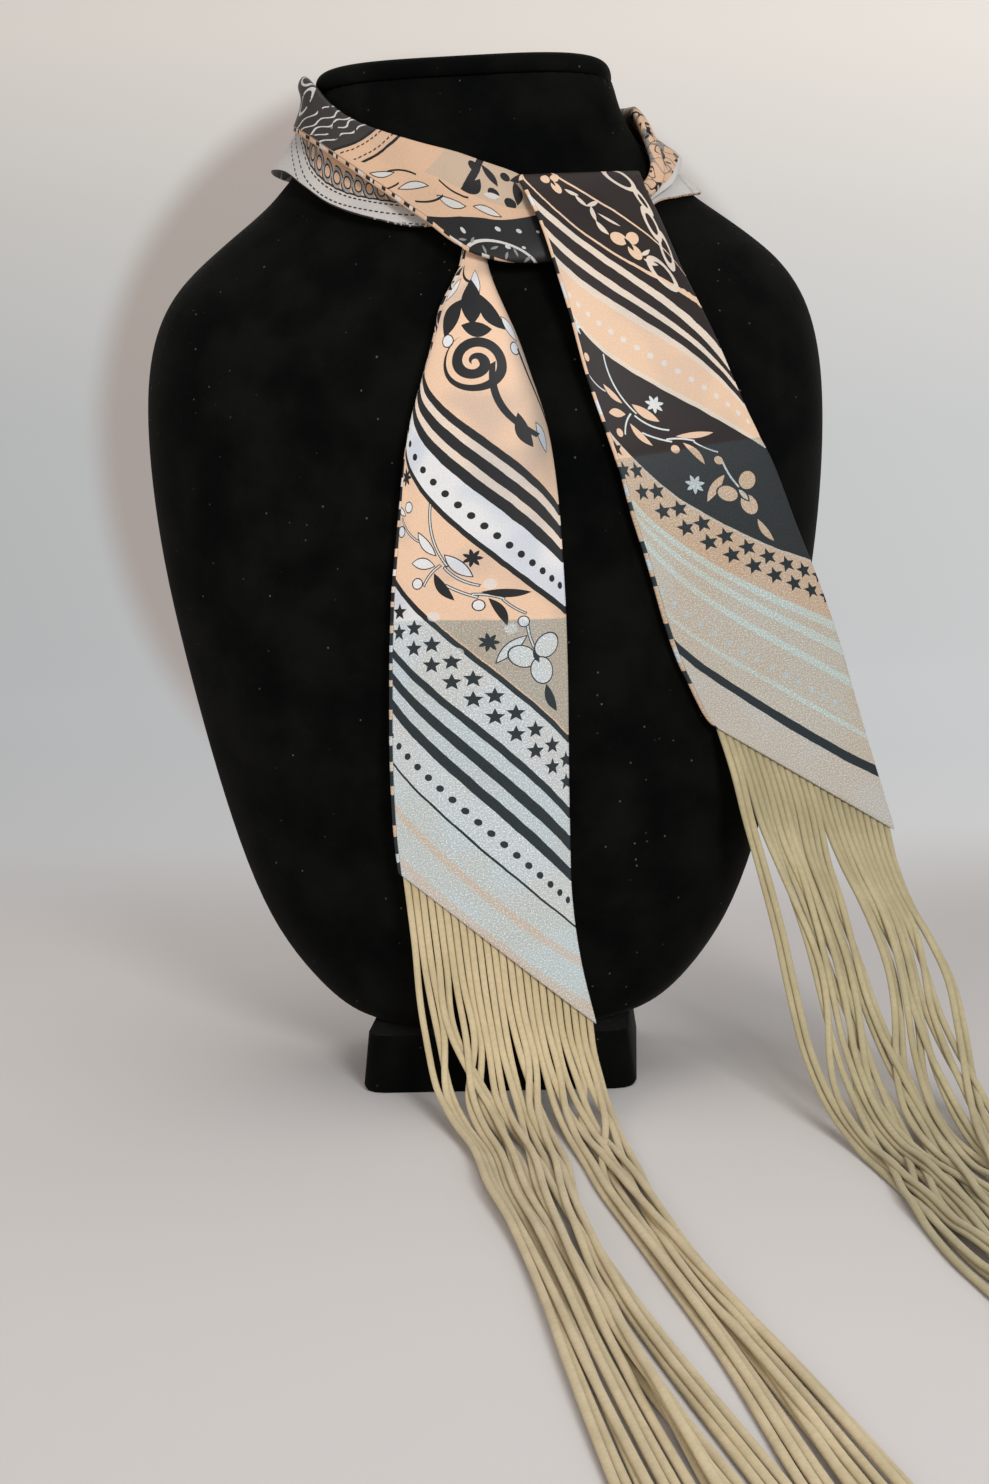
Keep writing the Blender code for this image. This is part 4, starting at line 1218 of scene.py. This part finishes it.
# %% The collar's inner halves and its right side
def collar_inner_print(flat, across, along, place):
    """The inner half, which hangs below the trimmed edge with its other layer outwards."""
    line, pitch = across - 29.0 - (along - 85.0).most(0.0) * 0.20, 3.9
    threads, stitches = dye(60, 58, 58), dashes(along, 1.7)
    dyes = coats(
        flat.paint(line > 0, PEACH, WHITE),
        ((abs(line) < 0.30).most((abs(line - 3.9) < 0.24) * stitches), threads),
        *(((abs(line - row) < 0.24) * stitches, threads) for row in (1.1, 6.6)),
    )
    beat = flat.node("CombineXYZ", {}, {0: line + 2.7, 1: ((along / pitch).math("FRACT") - 0.5) * pitch})
    loop = abs(oval(beat, 0.0, 0.0, 5.2, 3.1, 38))
    return coats(dyes, (loop < 0.62, INK), (loop < 0.30, dye(168, 168, 170)))


def collar_right_print(flat, across, along, place):
    """Peach with grey curls in front, charcoal with white ones round the back, and a white rim."""
    behind = place > 34.0
    blobs = flat.noise(0.19, Detail=1.0, Distortion=1.4) > 0.60
    return coats(
        flat.paint(behind, CHARCOAL, PEACH), (abs(place - 35.4) < 0.4, INK),
        (curls(flat, 0.13, 0.035) > 0, flat.paint(behind, WHITE, dye(150, 146, 142))),
        (blobs.most(curls(flat, 0.22, 0.02) > 0) * behind, INK), (across < 1.3, WHITE),
    )


def roll_print(flat, across, along, place):
    """The inner half at the right, white with a few lines along it."""
    lines = (abs(across - 36.0) < 0.3).most((abs(across - 38.6) < 0.24) * dashes(along, 1.7))
    return flat.paint(lines, WHITE, dye(84, 82, 82))


# %% Give each cloth its print
def two_sided(name, front, inner):
    """One satin for a folded collar: the front layer's print and, past the fold, the other layer's."""
    def draw(flat, across, along, place):
        layer = flat.node("Attribute", {"attribute_name": "cloth"}, output=1).part(0)
        sides = (side(flat, across, along, place) for side in (front, inner))
        return flat.paint(layer > CLOTH_WIDTH, *sides)
    return satin(name, draw, overall=(0.78, 0.74, 0.70), sheen_clouds=0.35)


for cloth, made in (
    # the colours after each crease are the tails' painted sheen below it
    (tail_left, satin("satin_print_left", left_print, LEFT_CREASE, (0.70, 0.76, 0.79), sheen_clouds=1.0)),
    (tail_right,
     satin("satin_print_right", right_print, RIGHT_CREASE, (0.62, 0.67, 0.70), (0.96, 0.97, 0.96), 0.5)),
    (collar_left, two_sided("satin_collar_left", collar_left_print, collar_inner_print)),
    (collar_right, two_sided("satin_collar_right", collar_right_print, roll_print)),
):
    cloth.data.materials.append(made)
for made in bpy.data.materials:
    print(made.name, len(made.node_tree.nodes) if made.use_nodes else 0, "nodes")

# %% [markdown]
# ## What each piece stands for
# Each piece of cloth and each fringe takes the place of its node in the model, which is hidden, and
# each piece rides on the one body of this object.

for made, node, kind in (
    (tail_left, "tail_left", "satin"), (tail_right, "tail_right", "satin"),
    (collar_left, "collar_left", "satin"), (collar_right, "collar_right", "satin"),
    (fringe_left, "fringe_left", "suede_cord"), (fringe_right, "fringe_right", "suede_cord"),
):
    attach(made, "root")
    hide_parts(node)

# %% [markdown]
# ## Floor, backdrop and light
# A pale sweep stands in for the photographer's paper. Its near part is lit by the lamps, with painted
# shade making it darker towards the right and towards the front. Its far part glows by itself, painted
# light in the soft tones of the wall behind, brighter and warmer towards the top and a little brighter to
# the right, set out from where the camera stands, with a soft shadow painted beside the bust. A soft key
# light on the right throws the shadows to the left, a weaker warm one fills from the left, and a broad one
# hangs overhead.

# %% Studio
bpy.ops.object.select_all(action="DESELECT")
bpy.ops.mesh.primitive_grid_add(x_subdivisions=2, y_subdivisions=60, size=1)
sweep = bpy.context.object
sweep.name = sweep.data.name = "studio_sweep"
profile = [(-3.0 + 4.5 * k / 20, 0.0) for k in range(20)]
quarter = [math.pi / 2 * k / 20 for k in range(21)]
profile += [(1.5 + 0.5 * math.sin(turn), 0.5 - 0.5 * math.cos(turn)) for turn in quarter]
profile += [(2.0, 0.5 + 2.5 * (k + 1) / 20) for k in range(20)]
for number, vertex in enumerate(sweep.data.vertices):
    depth, height = profile[number // 3]
    vertex.co = ((number % 3 - 1) * 3.5, depth, height)
bpy.ops.object.shade_smooth()
paper, shader, thread = new_finish("studio_paper")
spot = thread.node("TexCoord", output=3)
away = thread.node("VectorMath", {"operation": "SUBTRACT"}, {0: spot, 1: tuple(camera.location)})
DOT = {"operation": "DOT_PRODUCT"}
deep, over, beside = (
    away.node("VectorMath", DOT, {0: away, 1: tuple(axis)}, output=1) for axis in (ahead, up, right)
)
rise, shift = over / deep, beside / deep
# painted light: the wall's glow, brighter and warmer towards the top and a little brighter to the right
stops = [
    (0.0, dye(199, 195, 193)), (0.30, dye(186, 187, 188)), (0.62, dye(190, 191, 191)),
    (0.82, dye(205, 202, 198)), (1.0, dye(222, 215, 208)),
]
wall = thread.node("ValToRGB", {"stops": stops}, {0: rise * 2.0 + 0.31})
wall = thread.node("VectorMath", {"operation": "SCALE"}, {0: wall, 3: shift * 0.5 + 1.02})
# painted shadow beside the bust
x, y = (shift + 0.026) / 0.168, (rise - 0.155) / (0.175 + (rise < 0.155) * 0.029)
shade = 1 - (x * x + y * y).math("SQRT").fade(0.93, 1.04)
wall = coats(wall, (shade * 0.75, dye(160, 147, 139)))
far = spot.part(1).fade(0.16, 0.48)
# painted shade: the near floor darker towards the right and towards the front
painted_floor_shade = spot.part(0).fade(0.0, 0.4).most((0 - spot.part(1)).fade(0.15, 0.5))
floor = thread.paint(painted_floor_shade, (0.68, 0.645, 0.62, 1), (0.55, 0.525, 0.51, 1))
join(shader, Base_Color=thread.paint(far, floor, (0.0, 0.0, 0.0, 1)), Roughness=0.85, Specular_IOR_Level=0.1)
join(shader, Emission_Color=thread.paint(far, (0, 0, 0, 1), wall), Emission_Strength=1.0)
sweep.data.materials.append(paper)
sweep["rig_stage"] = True


def soft_light(name, place, aim, size, power, colour):
    bpy.ops.object.light_add(type="AREA", location=place)
    lamp = bpy.context.object
    lamp.name = name
    lamp.data.shape, lamp.data.size, lamp.data.energy, lamp.data.color = "DISK", size, power, colour
    lamp.rotation_euler = (Vector(aim) - Vector(place)).to_track_quat("-Z", "Y").to_euler()
    return lamp


soft_light("key_light", (0.42, -1.1, 0.46), (0.02, 0, 0.12), 0.28, 8.2, (0.96, 0.98, 1.0))
soft_light("fill_light", (-0.9, -0.8, 0.6), (0.0, 0, 0.15), 0.8, 3.0, (1.0, 0.86, 0.74))
soft_light("top_light", (0.1, -0.2, 1.5), (0.05, -0.1, 0.0), 0.9, 4.4, (1.0, 0.97, 0.95))
world = bpy.data.worlds.new("studio_air")
bpy.context.scene.world = world
world.use_nodes = True
world.node_tree.nodes["Background"].inputs[0].default_value = (0.92, 0.95, 1.0, 1)
world.node_tree.nodes["Background"].inputs[1].default_value = 0.38

# %% Keep both boxes and finish
seen_box = [list(corner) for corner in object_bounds()]
growth = [[round(1000 * (b - a), 1) for a, b in zip(low, high)] for low, high in zip(cad_box, seen_box)]
print("grows by, mm", growth)
